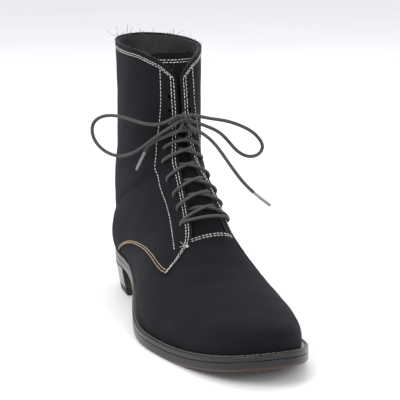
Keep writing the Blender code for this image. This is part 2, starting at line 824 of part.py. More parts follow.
def make_bow():
    """Knot, two loops and two ends with their tips."""
    bpy.ops.mesh.primitive_uv_sphere_add(segments=16, ring_count=10, radius=KNOT_WIDTH / 2)
    knot = bpy.context.object
    knot.name = "lace_knot"
    knot.location = KNOT
    knot.scale = (1.0, KNOT_DEPTH, KNOT_HEIGHT)
    knot.data.materials.append(material("lace"))
    knot.data.shade_smooth()
    for group in list(knot.users_collection):
        group.objects.unlink(knot)
    BOOT.objects.link(knot)
    for name, route in ROUTES.items():
        tipped = "end" in name
        last = -TIP_LENGTH - SEAM_GAP if tipped else 0.0
        tube(name, cord_points(route, 0.0, last), LACE_DIAMETER, "lace")
        if tipped:
            tip = cord_points(route, -TIP_LENGTH, 0.0)
            tube(name.replace("end", "tip"), tip, TIP_DIAMETER, "lace_tip")


# The scene
for old in list(bpy.data.objects):
    bpy.data.objects.remove(old)
BOOT = bpy.data.collections.new("lace_up_boot")
CUTTERS = bpy.data.collections.new("cutters")
for group in (BOOT, CUTTERS):
    bpy.context.scene.collection.children.link(group)

make_outsole()
make_welt()
make_insole()
make_heel()
make_upper()
make_tongue()
make_lace_bars()
make_bow()
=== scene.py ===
"""Looks of the lace-up boot: cloth upper, stitching, laces, leather sole, camera and light.

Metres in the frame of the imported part: +Z up, +Y towards the toe, +X to the boot's outer side.
Every visible piece is a mesh of its own that rides on the one body and stands for its solid.
"""

import json
import math

import bmesh
import bpy
import numpy as np
from mathutils import Matrix, Vector

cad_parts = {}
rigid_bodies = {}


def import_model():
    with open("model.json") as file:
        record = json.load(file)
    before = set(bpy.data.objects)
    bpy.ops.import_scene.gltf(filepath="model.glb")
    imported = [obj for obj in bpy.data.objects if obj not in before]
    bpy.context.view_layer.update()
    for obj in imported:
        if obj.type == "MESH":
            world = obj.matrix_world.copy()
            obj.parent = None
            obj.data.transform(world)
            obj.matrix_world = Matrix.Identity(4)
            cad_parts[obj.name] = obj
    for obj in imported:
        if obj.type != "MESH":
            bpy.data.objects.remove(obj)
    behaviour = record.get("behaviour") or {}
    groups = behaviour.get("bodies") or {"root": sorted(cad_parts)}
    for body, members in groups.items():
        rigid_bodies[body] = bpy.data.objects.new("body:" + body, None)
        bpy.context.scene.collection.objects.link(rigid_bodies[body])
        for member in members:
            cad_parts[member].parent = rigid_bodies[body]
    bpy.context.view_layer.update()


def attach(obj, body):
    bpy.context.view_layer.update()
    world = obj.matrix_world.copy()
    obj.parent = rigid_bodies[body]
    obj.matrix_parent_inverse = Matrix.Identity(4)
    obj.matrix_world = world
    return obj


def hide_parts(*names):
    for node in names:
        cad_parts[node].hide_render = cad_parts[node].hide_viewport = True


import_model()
FIBRE_SEED = 7
random = np.random.default_rng(FIBRE_SEED)

# Driving dimensions
SOLE_LENGTH = 0.305
BALL_WIDTH = 0.104
HEEL_CENTRE = 0.033
HEEL_HEIGHT = 0.024
HEEL_LENGTH = 0.062
LIFT_THICKNESS = 0.006
TOE_SPRING = 0.014
OUTSOLE_THICKNESS = 0.0065
WELT_THICKNESS = 0.0035
WELT_LEDGE = 0.0045
HEEL_LEDGE = 0.0015
INSOLE_THICKNESS = 0.0050
INSTEP_HEIGHT = 0.070
SHAFT_HEIGHT = 0.178
SHAFT_WIDTH = 0.066
WALL = 0.0020
QUARTER_STEP = 0.0009
TONGUE_THICKNESS = 0.0016
TONGUE_CLEARANCE = 0.0012
SEAM_GAP = 0.0003
EDGE_ROUND = 0.0012
LACE_DIAMETER = 0.0027
TIP_DIAMETER = 0.0024
TIP_LENGTH = 0.016
WAIST_BEVEL = 0.004
WELT_GRIP = 0.0006
INSOLE_CLEARANCE = 0.0010
HEEL_TAPER = 0.004

# Stations along the surface and small shares of it, as in the part
HEEL_BLEND = 1.8
HEEL_BLEND_START = (8.5, 12.0)
HEEL_BLEND_SAMPLES = 9
HEEL_BLEND_FALL = 0.8
WAIST_START = (0.20, 0.34)
WAIST_END = (0.44, 0.56)
ARCH = (0.22, 0.60)
SPRING_START = 0.71
SPRING_POWER = 1.8
LEDGE_GROWTH = (0.30, 0.58)
EDGE_SAMPLE = 0.001
SURFACE_SAMPLE = (0.02, 0.004)
TONGUE_TOP_SHARE = 0.14
COLLAR_TUCK = 0.06
CORD_POINT_SPACING = 0.9
ROUTE_FINENESS = 40
FACING_LIP = 0.006
EPSILON = 0.001
MERGE_DISTANCE = 0.00002

# Fineness of the visible meshes
VAMP_ROWS = 90
SHAFT_ROWS = 130
SIDE_COLUMNS = 64
THROAT_COLUMNS = 12
QUARTER_TIP_ROWS = 50
QUARTER_ROWS = 120
QUARTER_COLUMNS = 72
TONGUE_ROWS = 110
TONGUE_COLUMNS = 41
SOLE_STATIONS = 150
MAP_SHIFT = 0.3

# Cloth, lining and thread
CLOTH = 0.0013
LINING_GAP = 0.00005
QUARTER_CLOTH = 0.0010
EYELET_HOLE = 0.0030
THREAD = 0.00056
STITCH_PITCH = 0.0027
STITCH_LENGTH = 0.0018
EDGE_ROW = 0.0020
SECOND_ROW = 0.0041
COLLAR_ROWS = (0.0040, 0.0056)

# The sole's outline: share of sole length, then half widths as shares of ball width
OUTLINE = (
    # along, lateral, medial
    (0.000, 0.000, 0.000),
    (0.030, 0.185, -0.185),
    (0.080, 0.280, -0.270),
    (0.160, 0.325, -0.310),
    (0.270, 0.335, -0.285),
    (0.380, 0.385, -0.235),
    (0.470, 0.465, -0.240),
    (0.550, 0.515, -0.310),
    (0.620, 0.520, -0.385),
    (0.700, 0.480, -0.440),
    (0.780, 0.420, -0.455),
    (0.860, 0.345, -0.425),
    (0.920, 0.265, -0.360),
    (0.965, 0.165, -0.280),
    (0.990, 0.040, -0.190),
    (1.000, -0.080, -0.080),
)

# Ribs of the foot. low, top, nose and lean: shares of sole length. crest and rise: shares of
# instep height. ridge, reach and flare: shares of ball width.
FOOT_RIBS = (
    # low, top, crest, ridge, reach lat, reach med, nose, flare lat, flare med, lean, rise
    (1.000, 0.958, 0.26, -0.080, 0.000, 0.000, 0.022, 0.000, 0.000, 0.006, 0.13),
    (0.988, 0.955, 0.27, -0.080, 0.090, 0.080, 0.018, 0.005, 0.005, 0.004, 0.14),
    (0.955, 0.942, 0.30, -0.080, 0.170, 0.150, 0.010, 0.010, 0.005, 0.002, 0.17),
    (0.895, 0.895, 0.39, -0.080, 0.240, 0.205, 0.004, 0.015, 0.005, 0.000, 0.24),
    (0.815, 0.820, 0.50, -0.080, 0.295, 0.240, 0.000, 0.020, 0.005, 0.000, 0.33),
    (0.735, 0.740, 0.60, -0.080, 0.320, 0.255, 0.000, 0.025, 0.005, 0.000, 0.40),
    (0.655, 0.665, 0.71, -0.080, 0.320, 0.260, 0.000, 0.020, 0.005, 0.000, 0.46),
    (0.570, 0.610, 0.84, -0.080, 0.300, 0.255, 0.000, 0.020, 0.010, 0.005, 0.50),
    (0.480, 0.568, 0.99, -0.075, 0.275, 0.250, 0.000, 0.025, 0.020, 0.015, 0.52),
    (0.390, 0.532, 1.11, -0.065, 0.265, 0.250, 0.000, 0.040, 0.030, 0.030, 0.50),
    (0.290, 0.500, 1.21, -0.055, 0.265, 0.250, 0.000, 0.070, 0.045, 0.045, 0.45),
    (0.190, 0.472, 1.29, -0.045, 0.275, 0.265, 0.000, 0.105, 0.080, 0.030, 0.43),
    (0.100, 0.450, 1.350, -0.036, 0.290, 0.280, 0.000, 0.150, 0.125, 0.005, 0.43),
    (0.035, 0.431, 1.40, -0.028, 0.305, 0.300, 0.000, 0.235, 0.200, -0.010, 0.43),
)

# Ribs of the shaft. climb, crest and up: shares of shaft height. back and top: shares of sole
# length. ridge: share of ball width. reach and flare: shares of shaft width.
SHAFT_RIBS = (
    # climb, back, top, crest, ridge, reach, flare lat, flare med, up
    (0.00, 0.000, 0.415, 0.495, -0.022, 0.51, 0.70, 0.62, 0.16),
    (0.09, -0.010, 0.404, 0.540, -0.018, 0.52, 0.74, 0.66, 0.12),
    (0.20, -0.012, 0.397, 0.592, -0.014, 0.53, 0.72, 0.66, 0.07),
    (0.34, 0.000, 0.391, 0.655, -0.010, 0.54, 0.69, 0.65, 0.03),
    (0.50, 0.018, 0.387, 0.725, -0.006, 0.56, 0.64, 0.62, 0.00),
    (0.68, 0.033, 0.384, 0.803, -0.003, 0.58, 0.63, 0.63, 0.00),
    (0.84, 0.041, 0.381, 0.882, 0.000, 0.60, 0.63, 0.63, 0.00),
    (1.00, 0.044, 0.378, 0.961, 0.000, 0.62, 0.63, 0.63, 0.00),
)
FIRST_SHAFT_RIB = len(FOOT_RIBS)
LAST_RIB = len(FOOT_RIBS) + len(SHAFT_RIBS) - 1
THROAT_RIB = 7.7

# Lines drawn on the surface, by rib number and by share of the way down the rib
FACING = (
    # rib, share where the facing's front edge lies
    (0.0, 0.22),
    (7.7, 0.21),
    (9.7, 0.155),
    (11.8, 0.10),
    (13.75, 0.07),
    (16.7, 0.035),
    (18.7, 0.022),
    (21.0, 0.022),
)
COLLAR = (
    # share down the rib, ribs that the collar lies below the last one
    (0.00, 1.55),
    (0.06, 0.95),
    (0.14, 0.45),
    (0.32, 0.06),
    (1.00, 0.00),
)
QUARTER_LATERAL = (
    # rib, front edge, lower edge
    (6.65, 0.500, 0.510),
    (7.00, 0.335, 0.545),
    (7.60, 0.222, 0.580),
    (8.20, 0.190, 0.615),
    (9.50, 0.152, 0.725),
    (10.30, 0.128, 0.815),
    (10.80, 0.116, 0.905),
    (11.10, 0.108, 0.975),
)
QUARTER_MEDIAL = (
    # rib, front edge, lower edge
    (6.10, 0.480, 0.490),
    (6.60, 0.335, 0.525),
    (7.50, 0.222, 0.575),
    (8.20, 0.190, 0.615),
    (9.50, 0.152, 0.725),
    (10.30, 0.128, 0.815),
    (10.80, 0.116, 0.905),
    (11.10, 0.108, 0.975),
)
QUARTERS = {1: QUARTER_LATERAL, -1: QUARTER_MEDIAL}
QUARTER_HEM = 0.985
TONGUE = (
    # rib, half width as a share down the rib
    (6.6, 0.26),
    (8.0, 0.32),
    (11.0, 0.28),
    (13.0, 0.22),
    (16.0, 0.25),
    (20.2, 0.25),
    (21.35, 0.20),
)
EYELETS = (
    # rib, share down the rib; from the collar to the throat, the top two unlaced
    (19.30, 0.069),
    (18.35, 0.075),
    (17.40, 0.080),
    (16.45, 0.106),
    (15.45, 0.138),
    (14.25, 0.163),
    (11.90, 0.206),
    (10.45, 0.228),
    (9.50, 0.252),
    (8.55, 0.275),
)
FIRST_LACED = 2

# The bow's cords, as points chosen along each one, in metres
KNOT = (-0.0007, 0.0963, 0.1563)
ROUTES = {
    "lace_loop_lateral": (
        (0.0051, 0.0963, 0.1579),
        (0.0104, 0.0925, 0.1540),
        (0.0178, 0.0858, 0.1506),
        (0.0324, 0.0690, 0.1524),
        (0.0463, 0.0540, 0.1549),
        (0.0538, 0.0476, 0.1526),
        (0.0580, 0.0450, 0.1481),
        (0.0592, 0.0458, 0.1401),
        (0.0547, 0.0527, 0.1299),
        (0.0446, 0.0634, 0.1245),
        (0.0340, 0.0735, 0.1277),
        (0.0254, 0.0800, 0.1347),
        (0.0164, 0.0872, 0.1432),
        (0.0098, 0.0936, 0.1490),
        (0.0046, 0.0976, 0.1533),
    ),
    "lace_loop_medial": (
        (-0.0065, 0.0963, 0.1579),
        (-0.0120, 0.0980, 0.1566),
        (-0.0200, 0.1000, 0.1548),
        (-0.0328, 0.1023, 0.1522),
        (-0.0421, 0.1047, 0.1488),
        (-0.0505, 0.1071, 0.1441),
        (-0.0565, 0.1095, 0.1377),
        (-0.0583, 0.1110, 0.1320),
        (-0.0551, 0.1116, 0.1270),
        (-0.0469, 0.1107, 0.1254),
        (-0.0384, 0.1085, 0.1300),
        (-0.0314, 0.1055, 0.1385),
        (-0.0251, 0.1030, 0.1447),
        (-0.0170, 0.1005, 0.1489),
        (-0.0064, 0.0976, 0.1533),
    ),
    "lace_end_lateral": (
        (0.0012, 0.0957, 0.1514),
        (0.0032, 0.0948, 0.1467),
        (0.0078, 0.0928, 0.1438),
        (0.0150, 0.0850, 0.1395),
        (0.0207, 0.0780, 0.1345),
        (0.0245, 0.0750, 0.1290),
        (0.0267, 0.0737, 0.1240),
        (0.0290, 0.0724, 0.1188),
        (0.0312, 0.0713, 0.1136),
    ),
    "lace_end_medial": (
        (-0.0029, 0.0972, 0.1512),
        (-0.0062, 0.1000, 0.1482),
        (-0.0115, 0.1045, 0.1448),
        (-0.0192, 0.1123, 0.1370),
        (-0.0249, 0.1199, 0.1270),
        (-0.0302, 0.1273, 0.1170),
        (-0.0351, 0.1334, 0.1092),
        (-0.0404, 0.1387, 0.1030),
        (-0.0451, 0.1429, 0.0984),
        (-0.0503, 0.1473, 0.0939),
    ),
}

# Curves
def spline(xs, ys, x):
    """Natural cubic spline through the points xs, ys, read at x."""
    xs = np.asarray(xs, float)
    ys = np.asarray(ys, float)
    x = np.asarray(x, float)
    count = len(xs)
    step = np.diff(xs)
    slope = np.diff(ys) / step
    matrix = np.eye(count)
    right = np.zeros(count)
    for i in range(1, count - 1):
        matrix[i, i - 1] = step[i - 1]
        matrix[i, i] = 2 * (step[i - 1] + step[i])
        matrix[i, i + 1] = step[i]
        right[i] = 6 * (slope[i] - slope[i - 1])
    bend = np.linalg.solve(matrix, right)
    i = np.clip(np.searchsorted(xs, x) - 1, 0, count - 2)
    d = x - xs[i]
    first = slope[i] - step[i] * (2 * bend[i] + bend[i + 1]) / 6
    return ys[i] + d * first + d**2 * bend[i] / 2 + d**3 * (bend[i + 1] - bend[i]) / (6 * step[i])


def smoothstep(low, high, x):
    """0 below low, 1 above high and a soft S between."""
    s = np.clip((np.asarray(x, float) - low) / (high - low), 0, 1)
    return s * s * (3 - 2 * s)


def column(table, index):
    """One column of a table."""
    return np.array([row[index] for row in table])


def lengths_along(points):
    """Distance of each point of a polyline from its first one."""
    return np.concatenate([[0], np.cumsum(np.linalg.norm(np.diff(points, axis=0), axis=1))])


# Sole
def end_share(t):
    """Share of a half turn at which a cosine walk reaches t: it rounds both ends."""
    return np.arccos(1 - 2 * np.clip(t, 0, 1)) / np.pi


def y_at(t):
    """Place along the boot of a share of the sole's length."""
    return -HEEL_CENTRE + SOLE_LENGTH * np.asarray(t, float)


def outline(t, side):
    """Half width of the sole; side is 1 for lateral and -1 for medial."""
    index = 1 if side > 0 else 2
    return BALL_WIDTH * spline(end_share(column(OUTLINE, 0)), column(OUTLINE, index), end_share(t))


def tread_z(t):
    """Height of the outsole's underside: heel seat, arch, flat forefoot and toe spring."""
    arch = HEEL_HEIGHT * (1 - smoothstep(*ARCH, t))
    past = (np.asarray(t, float) - SPRING_START) / (1 - SPRING_START)
    spring = TOE_SPRING * np.clip(past, 0, 1) ** SPRING_POWER
    return arch + spring


def outsole_top(t):
    return tread_z(t) + OUTSOLE_THICKNESS


def welt_top(t):
    return outsole_top(t) + SEAM_GAP + WELT_THICKNESS


def feather_z(t):
    """Height at which the upper starts, just above the welt."""
    return welt_top(t) + SEAM_GAP


def ledge(t):
    """How far the welt stands out from the upper."""
    return HEEL_LEDGE + (WELT_LEDGE - HEEL_LEDGE) * smoothstep(*LEDGE_GROWTH, t)


def inset_edge(t, side, inset):
    """The sole's outline moved inwards along its own normal."""
    t = np.asarray(t, float)
    share = end_share(t)
    near = (1 - np.cos(np.pi * np.clip(share - EDGE_SAMPLE, 0, 1))) / 2
    far = (1 - np.cos(np.pi * np.clip(share + EDGE_SAMPLE, 0, 1))) / 2
    dx = outline(far, side) - outline(near, side)
    dy = y_at(far) - y_at(near)
    length = np.hypot(dx, dy)
    x = outline(t, side) - side * dy / length * inset
    y = y_at(t) + side * dx / length * inset
    return x, y


def stations(first, last, count):
    """Shares of the sole's length, closer together at its round ends."""
    a, b = end_share(first), end_share(last)
    return (1 - np.cos(np.pi * np.linspace(a, b, count))) / 2


# Upper
def ribs(side):
    """For each rib its start on the front line and the handles that leave its two ends."""
    rows = []
    for low, top, crest, ridge, reach_l, reach_m, nose, flare_l, flare_m, lean, rise in FOOT_RIBS:
        reach, flare = (reach_l, flare_l) if side > 0 else (reach_m, flare_m)
        start = (ridge * BALL_WIDTH, y_at(top), feather_z(top) + crest * INSTEP_HEIGHT)
        over = (side * reach * BALL_WIDTH, nose * SOLE_LENGTH, 0)
        out = (side * flare * BALL_WIDTH, lean * SOLE_LENGTH, rise * INSTEP_HEIGHT)
        rows.append((start, over, out))
    for climb, back, top, crest, ridge, reach, flare_l, flare_m, up in SHAFT_RIBS:
        flare = flare_l if side > 0 else flare_m
        start = (ridge * BALL_WIDTH, y_at(top), feather_z(0.0) + crest * SHAFT_HEIGHT)
        over = (side * reach * SHAFT_WIDTH, 0, 0)
        out = (side * flare * SHAFT_WIDTH, 0, up * SHAFT_HEIGHT)
        rows.append((start, over, out))
    return np.array(rows)


RIBS = {side: ribs(side) for side in (1, -1)}


def rib_end(u, side):
    """Where a rib ends: on the sole's feather line up to the heel, then up the back seam."""
    numbers = np.arange(FIRST_SHAFT_RIB + 1)
    shares = end_share(np.append(column(FOOT_RIBS, 0), 0.0))
    share = np.clip(spline(numbers, shares, np.minimum(u, FIRST_SHAFT_RIB)), 0, 1)
    low = (1 - np.cos(np.pi * share)) / 2
    x, y = inset_edge(low, side, ledge(low))
    foot = np.stack([x, y, feather_z(low)], -1)
    higher = np.arange(FIRST_SHAFT_RIB, LAST_RIB + 1)
    shaft_u = np.maximum(u, FIRST_SHAFT_RIB)
    climb = spline(higher, column(SHAFT_RIBS, 0), shaft_u) * SHAFT_HEIGHT
    back = spline(higher, column(SHAFT_RIBS, 1), shaft_u)
    seam = np.stack([0 * u, y_at(back) + HEEL_LEDGE, feather_z(0.0) + climb], -1)
    return np.where((u < FIRST_SHAFT_RIB)[:, None], foot, seam)


def skin(u, v, side):
    """Outer surface of the upper: u counts ribs from the toe, v runs down each rib."""
    u, v = np.broadcast_arrays(np.asarray(u, float), np.asarray(v, float))
    numbers = np.arange(LAST_RIB + 1)
    flat = u.ravel()
    start, over, out = [
        np.stack([spline(numbers, RIBS[side][:, k, axis], flat) for axis in range(3)], -1)
        for k in range(3)
    ]
    s = v.ravel()[:, None]
    reach = HEEL_BLEND * smoothstep(*HEEL_BLEND_START, flat) * (1 - s[:, 0])
    shifts = np.linspace(-1, 1, HEEL_BLEND_SAMPLES)
    weights = 1 - shifts**2 * HEEL_BLEND_FALL
    ends = [w * rib_end(flat + k * reach, side) for k, w in zip(shifts, weights)]
    end = sum(ends) / sum(weights)
    near = (1 - s) ** 3 * start + 3 * s * (1 - s) ** 2 * (start + over)
    far = 3 * s**2 * (1 - s) * (end + out) + s**3 * end
    return (near + far).reshape(u.shape + (3,))


def skin_normal(u, v, side):
    """Unit normal of the skin, pointing out of the boot."""
    u, v = np.broadcast_arrays(np.asarray(u, float), np.asarray(v, float))
    du, dv = SURFACE_SAMPLE
    across = skin(u + du, v, side) - skin(u - du, v, side)
    low, high = np.clip(v - dv, EPSILON, 1), np.clip(v + dv, 0, 1 - EPSILON)
    down = skin(u, high, side) - skin(u, low, side)
    normal = np.cross(across, down) * side
    return normal / np.linalg.norm(normal, axis=-1, keepdims=True)


def above_skin(u, v, side, height):
    return skin(u, v, side) + height * skin_normal(u, v, side)


def cord_points(route, first, last):
    """Evenly spaced points of the smooth curve through a route, between two lengths of it.

    A last of 0 or less counts back from the route's far end.
    """
    route = np.array(route)
    chord = lengths_along(route)
    fine = np.linspace(0, chord[-1], len(route) * ROUTE_FINENESS)
    curve = np.stack([spline(chord, route[:, axis], fine) for axis in range(3)], -1)
    length = lengths_along(curve)
    start = first if first >= 0 else length[-1] + first
    end = last if last > 0 else length[-1] + last
    count = max(3, int(round((end - start) / (CORD_POINT_SPACING * LACE_DIAMETER))) + 1)
    wanted = np.linspace(start, end, count)
    return np.stack([np.interp(wanted, length, curve[:, axis]) for axis in range(3)], -1)


def smooth(table, index, x):
    """A table's column as a curve that never swings past its own values."""
    xs = column(table, 0)
    ys = column(table, index)
    x = np.clip(np.asarray(x, float), xs[0], xs[-1])
    slope = np.diff(ys) / np.diff(xs)
    bend = np.zeros(len(xs))
    bend[0], bend[-1] = slope[0], slope[-1]
    for i in range(1, len(xs) - 1):
        if slope[i - 1] * slope[i] > 0:
            bend[i] = 2 * slope[i - 1] * slope[i] / (slope[i - 1] + slope[i])
    i = np.clip(np.searchsorted(xs, x) - 1, 0, len(xs) - 2)
    step = xs[i + 1] - xs[i]
    t = (x - xs[i]) / step
    near = (1 + 2 * t) * (1 - t) ** 2 * ys[i] + t * (1 - t) ** 2 * step * bend[i]
    far = t**2 * (3 - 2 * t) * ys[i + 1] + t**2 * (t - 1) * step * bend[i + 1]
    return near + far


def collar_rib(u, v):
    """Bends the last ribs down towards the facings, where the collar's corner is cut away."""
    share = smoothstep(FIRST_SHAFT_RIB, LAST_RIB, u)
    return u - smooth(COLLAR, 1, v) * share


# Soft troughs and ridges left by wear: side, from (rib, share) to (rib, share), depth, width
CREASES = (
    (1, (15.2, 0.20), (13.4, 0.62), 0.0011, 0.006),
    (1, (16.2, 0.24), (15.2, 0.66), 0.0008, 0.007),
    (1, (14.2, 0.30), (12.6, 0.60), -0.0006, 0.005),
    (1, (17.6, 0.45), (17.2, 0.85), 0.0007, 0.010),
    (-1, (15.3, 0.20), (13.6, 0.60), 0.0011, 0.006),
    (-1, (16.4, 0.22), (15.4, 0.64), 0.0009, 0.007),
    (-1, (14.3, 0.30), (12.8, 0.58), -0.0006, 0.005),
    (-1, (17.4, 0.50), (17.0, 0.86), 0.0006, 0.010),
    (1, (6.0, 0.05), (6.4, 0.45), 0.0005, 0.006),
    (-1, (5.9, 0.05), (6.2, 0.50), 0.0005, 0.006),
    (1, (5.1, 0.10), (5.3, 0.40), 0.0003, 0.006),
    (-1, (5.0, 0.10), (5.2, 0.45), 0.0003, 0.006),
)
CREASE_ENDS = 0.35
SWELL_LENGTH = 0.045
SWELL_HEIGHT = 0.00018
CREASE_LINES = [
    (skin(*a, side), skin(*b, side), depth, width) for side, a, b, depth, width in CREASES
]


def crease_depth(points):
    """How far each point sinks, in metres, in the troughs near it."""
    sink = np.zeros(points.shape[:-1])
    for a, b, depth, width in CREASE_LINES:
        run = b - a
        share = np.clip(((points - a) @ run) / (run @ run), 0, 1)
        off = np.linalg.norm(points - (a + share[..., None] * run), axis=-1)
        fade = CREASE_ENDS + (1 - CREASE_ENDS) * np.sin(np.pi * share)
        sink += depth * np.exp(-((off / width) ** 2)) * fade
    return sink


def swell(points):
    """Slow unevenness of cloth pulled over a last, as three crossed waves."""
    x, y, z = (points * 2 * np.pi / SWELL_LENGTH).T
    wave = np.sin(x + 1.3 * y) * np.cos(0.8 * z - 0.5 * y) + 0.5 * np.sin(1.9 * z + x)
    return SWELL_HEIGHT * wave.T


def cloth(u, v, side, height=0.0):
    """A point of the worn surface, lifted by height."""
    flat = skin(u, v, side)
    normal = skin_normal(u, v, side)
    return flat + (height + swell(flat) - crease_depth(flat))[..., None] * normal


def run_length(u, v, side, du, dv):
    """Metres on the surface for one step of u or of v."""
    return np.linalg.norm(skin(u + du, v + dv, side) - skin(u, v, side), axis=-1) / (du + dv)


# Meshes
def make_object(name, vertices, faces, uvs, materials, faces_material=None, merge=MERGE_DISTANCE):
    """A mesh object with a metric map of its surface in metres."""
    mesh = bpy.data.meshes.new(name)
    mesh.from_pydata(np.asarray(vertices).tolist(), [], faces)
    if uvs is not None:
        layer = mesh.uv_layers.new(name="metres")
        loops = np.zeros(len(mesh.loops), int)
        mesh.loops.foreach_get("vertex_index", loops)
        layer.data.foreach_set("uv", np.asarray(uvs, float)[loops].ravel())
    for item in materials:
        mesh.materials.append(item)
    if faces_material is not None:
        mesh.polygons.foreach_set("material_index", faces_material)
    form = bmesh.new()
    form.from_mesh(mesh)
    bmesh.ops.remove_doubles(form, verts=form.verts, dist=merge)
    loose = [vertex for vertex in form.verts if not vertex.link_faces]
    bmesh.ops.delete(form, geom=loose, context="VERTS")
    bmesh.ops.recalc_face_normals(form, faces=form.faces)
    form.to_mesh(mesh)
    form.free()
    mesh.shade_smooth()
    made = bpy.data.objects.new(name, mesh)
    bpy.context.scene.collection.objects.link(made)
    return made


def dress(piece, slot, *nodes):
    """Puts a piece on the body and hides the solids that it stands for; its slot is not used."""
    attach(piece, "root")
    if nodes:
        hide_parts(*nodes)
    return piece


def apply_modifiers(piece):
    bpy.context.view_layer.update()
    graph = bpy.context.evaluated_depsgraph_get()
    mesh = bpy.data.meshes.new_from_object(piece.evaluated_get(graph))
    piece.modifiers.clear()
    piece.data = mesh
    return piece


def grid_faces(rows, columns, start=0, keep=None):
    faces = []
    for row in range(rows - 1):
        for col in range(columns - 1):
            if keep is None or keep(row, col):
                a = start + row * columns + col
                faces.append((a, a + 1, a + columns + 1, a + columns))
    return faces


def grid_map(points):
    """Metric coordinates of a grid: along its middle column, and down each row."""
    down = np.linalg.norm(np.diff(points, axis=1), axis=-1)
    rows = lengths_along(points[:, points.shape[1] // 2])
    columns = np.concatenate([np.zeros((len(points), 1)), np.cumsum(down, axis=1)], axis=1)
    return np.stack([rows[:, None] + 0 * columns, columns], -1).reshape(-1, 2)


def thicken(shell, thickness, offset=-1.0, rim=None):
    wall = shell.modifiers.new("wall", "SOLIDIFY")
    wall.thickness = thickness
    wall.offset = offset
    wall.use_even_offset = True
    wall.use_quality_normals = True
    if rim is not None:
        wall.material_offset_rim = rim
    return apply_modifiers(shell)


# Materials
# The wave node's scale times the pitch of its diagonal bands; straight bands lie twice as close
WAVE_SCALE = 2 * math.pi / 10


class Shader:
    """A Principled material and short calls that add nodes to it."""

    def __init__(self, name, **sockets):
        self.material = bpy.data.materials.new(name)
        self.material.use_nodes = True
        self.tree = self.material.node_tree
        self.principled = self.tree.nodes["Principled BSDF"]
        for socket, value in sockets.items():
            self.principled.inputs[socket.replace("_", " ")].default_value = value

    def node(self, kind, inputs=(), **settings):
        made = self.tree.nodes.new("ShaderNode" + kind)
        for key, value in settings.items():
            setattr(made, key, value)
        for key, value in dict(inputs).items():
            if isinstance(value, bpy.types.NodeSocket):
                self.tree.links.new(value, made.inputs[key])
            else:
                made.inputs[key].default_value = value
        return made

    def place(self, kind="UV", scale=(1, 1, 1), turn=(0, 0, 0)):
        source = self.node("TexCoord").outputs[kind]
        return self.node("Mapping", {"Vector": source, "Scale": scale, "Rotation": turn}).outputs[0]

    def noise(self, vector, scale, detail=3.0, rough=0.55):
        values = {"Vector": vector, "Scale": scale, "Detail": detail, "Roughness": rough}
        return self.node("TexNoise", values).outputs["Fac"]

    def wave(self, vector, pitch, direction, twist=0.0):
        scale = WAVE_SCALE / pitch
        values = {"Vector": vector, "Scale": scale, "Distortion": twist, "Detail": 1.0}
        return self.node("TexWave", values, bands_direction=direction).outputs["Fac"]

    def ramp(self, value, stops):
        made = self.node("ValToRGB", {"Fac": value})
        band = made.color_ramp
        while len(band.elements) < len(stops):
            band.elements.new(0.5)
        for element, (place, colour) in zip(band.elements, stops):
            element.position = place
            element.color = (*colour, 1)
        return made.outputs["Color"]

    def greys(self, value, *stops):
        return self.ramp(value, [(place, (level,) * 3) for place, level in stops])

    def shade(self, share, base, value, *stops):
        """A colour darkened by the greys of a ramp."""
        return self.mix(share, base, self.greys(value, *stops), "MULTIPLY")

    def mix(self, share, first, second, mode="MIX"):
        made = self.node("Mix", data_type="RGBA", blend_type=mode)
        for key, value in ((0, share), (6, first), (7, second)):
            if isinstance(value, bpy.types.NodeSocket):
                self.tree.links.new(value, made.inputs[key])
            else:
                made.inputs[key].default_value = value if key == 0 else (*value, 1)
        return made.outputs[2]

    def math(self, operation, first, second=0.0):
        return self.node("Math", {0: first, 1: second}, operation=operation).outputs[0]

    def bump(self, height, distance, strength=1.0, under=None):
        values = {"Height": height, "Distance": distance, "Strength": strength}
        if under is not None:
            values["Normal"] = under
        return self.node("Bump", values).outputs["Normal"]

    def link(self, socket, output):
        self.tree.links.new(output, self.principled.inputs[socket])


def cloth_material(name, dark, light, weave=0.0009, fuzz=0.045, nap=0.00016):
    """Dense twill with a short nap: crossed threads with painted shade between them, cloudy dye and a few
    pale fibres.
    """
    make = Shader(
        name,
        Roughness=0.92,
        Sheen_Weight=fuzz,
        Sheen_Roughness=0.45,
        Sheen_Tint=(0.72, 0.74, 0.86, 1),
        Specular_IOR_Level=0.12,
    )
    metres = make.place()
    twill = make.wave(metres, 1.41 * weave, "DIAGONAL", 0.6)
    weft = make.wave(metres, weave, "X", 0.4)
    threads = make.math("MULTIPLY", twill, weft)
    cloud = make.noise(make.place("Object"), 38, 4.0)
    lint = make.noise(make.place("UV", (900, 2600, 1), (0, 0, 0.4)), 1.0, 2.0)
    base = make.mix(make.greys(cloud, (0.35, 0), (0.7, 1)), dark, light)
    # The thread pattern darkens the colour between the crossed threads: painted shade.
    shaded = make.shade(0.45, base, threads, (0.0, 0.35), (0.6, 1))
    pale = tuple(3.2 * c + 0.01 for c in light)
    make.link("Base Color", make.mix(make.greys(lint, (0.74, 0), (0.80, 1)), shaded, pale))
    grain = make.bump(make.noise(make.place("Object"), 1500, 2.0), nap, 0.5)
    make.link("Normal", make.bump(threads, nap, 0.7, grain))
    return make.material


def thread_material(name, colour):
    """Twisted sewing thread, stained here and there, with painted shade in the grooves of its twist."""
    make = Shader(name, Roughness=0.6, Sheen_Weight=0.2)
    twist = make.wave(make.place(), 0.0004, "DIAGONAL")
    stain = make.noise(make.place("Object"), 90)
    worn = tuple(0.62 * c for c in colour)
    base = make.mix(make.greys(stain, (0.45, 0), (0.75, 1)), colour, worn)
    # The twist pattern darkens the colour in its grooves: painted shade.
    make.link("Base Color", make.shade(0.35, base, twist, (0, 0.4), (0.7, 1)))
    make.link("Normal", make.bump(twist, 0.0001, 0.6))
    return make.material


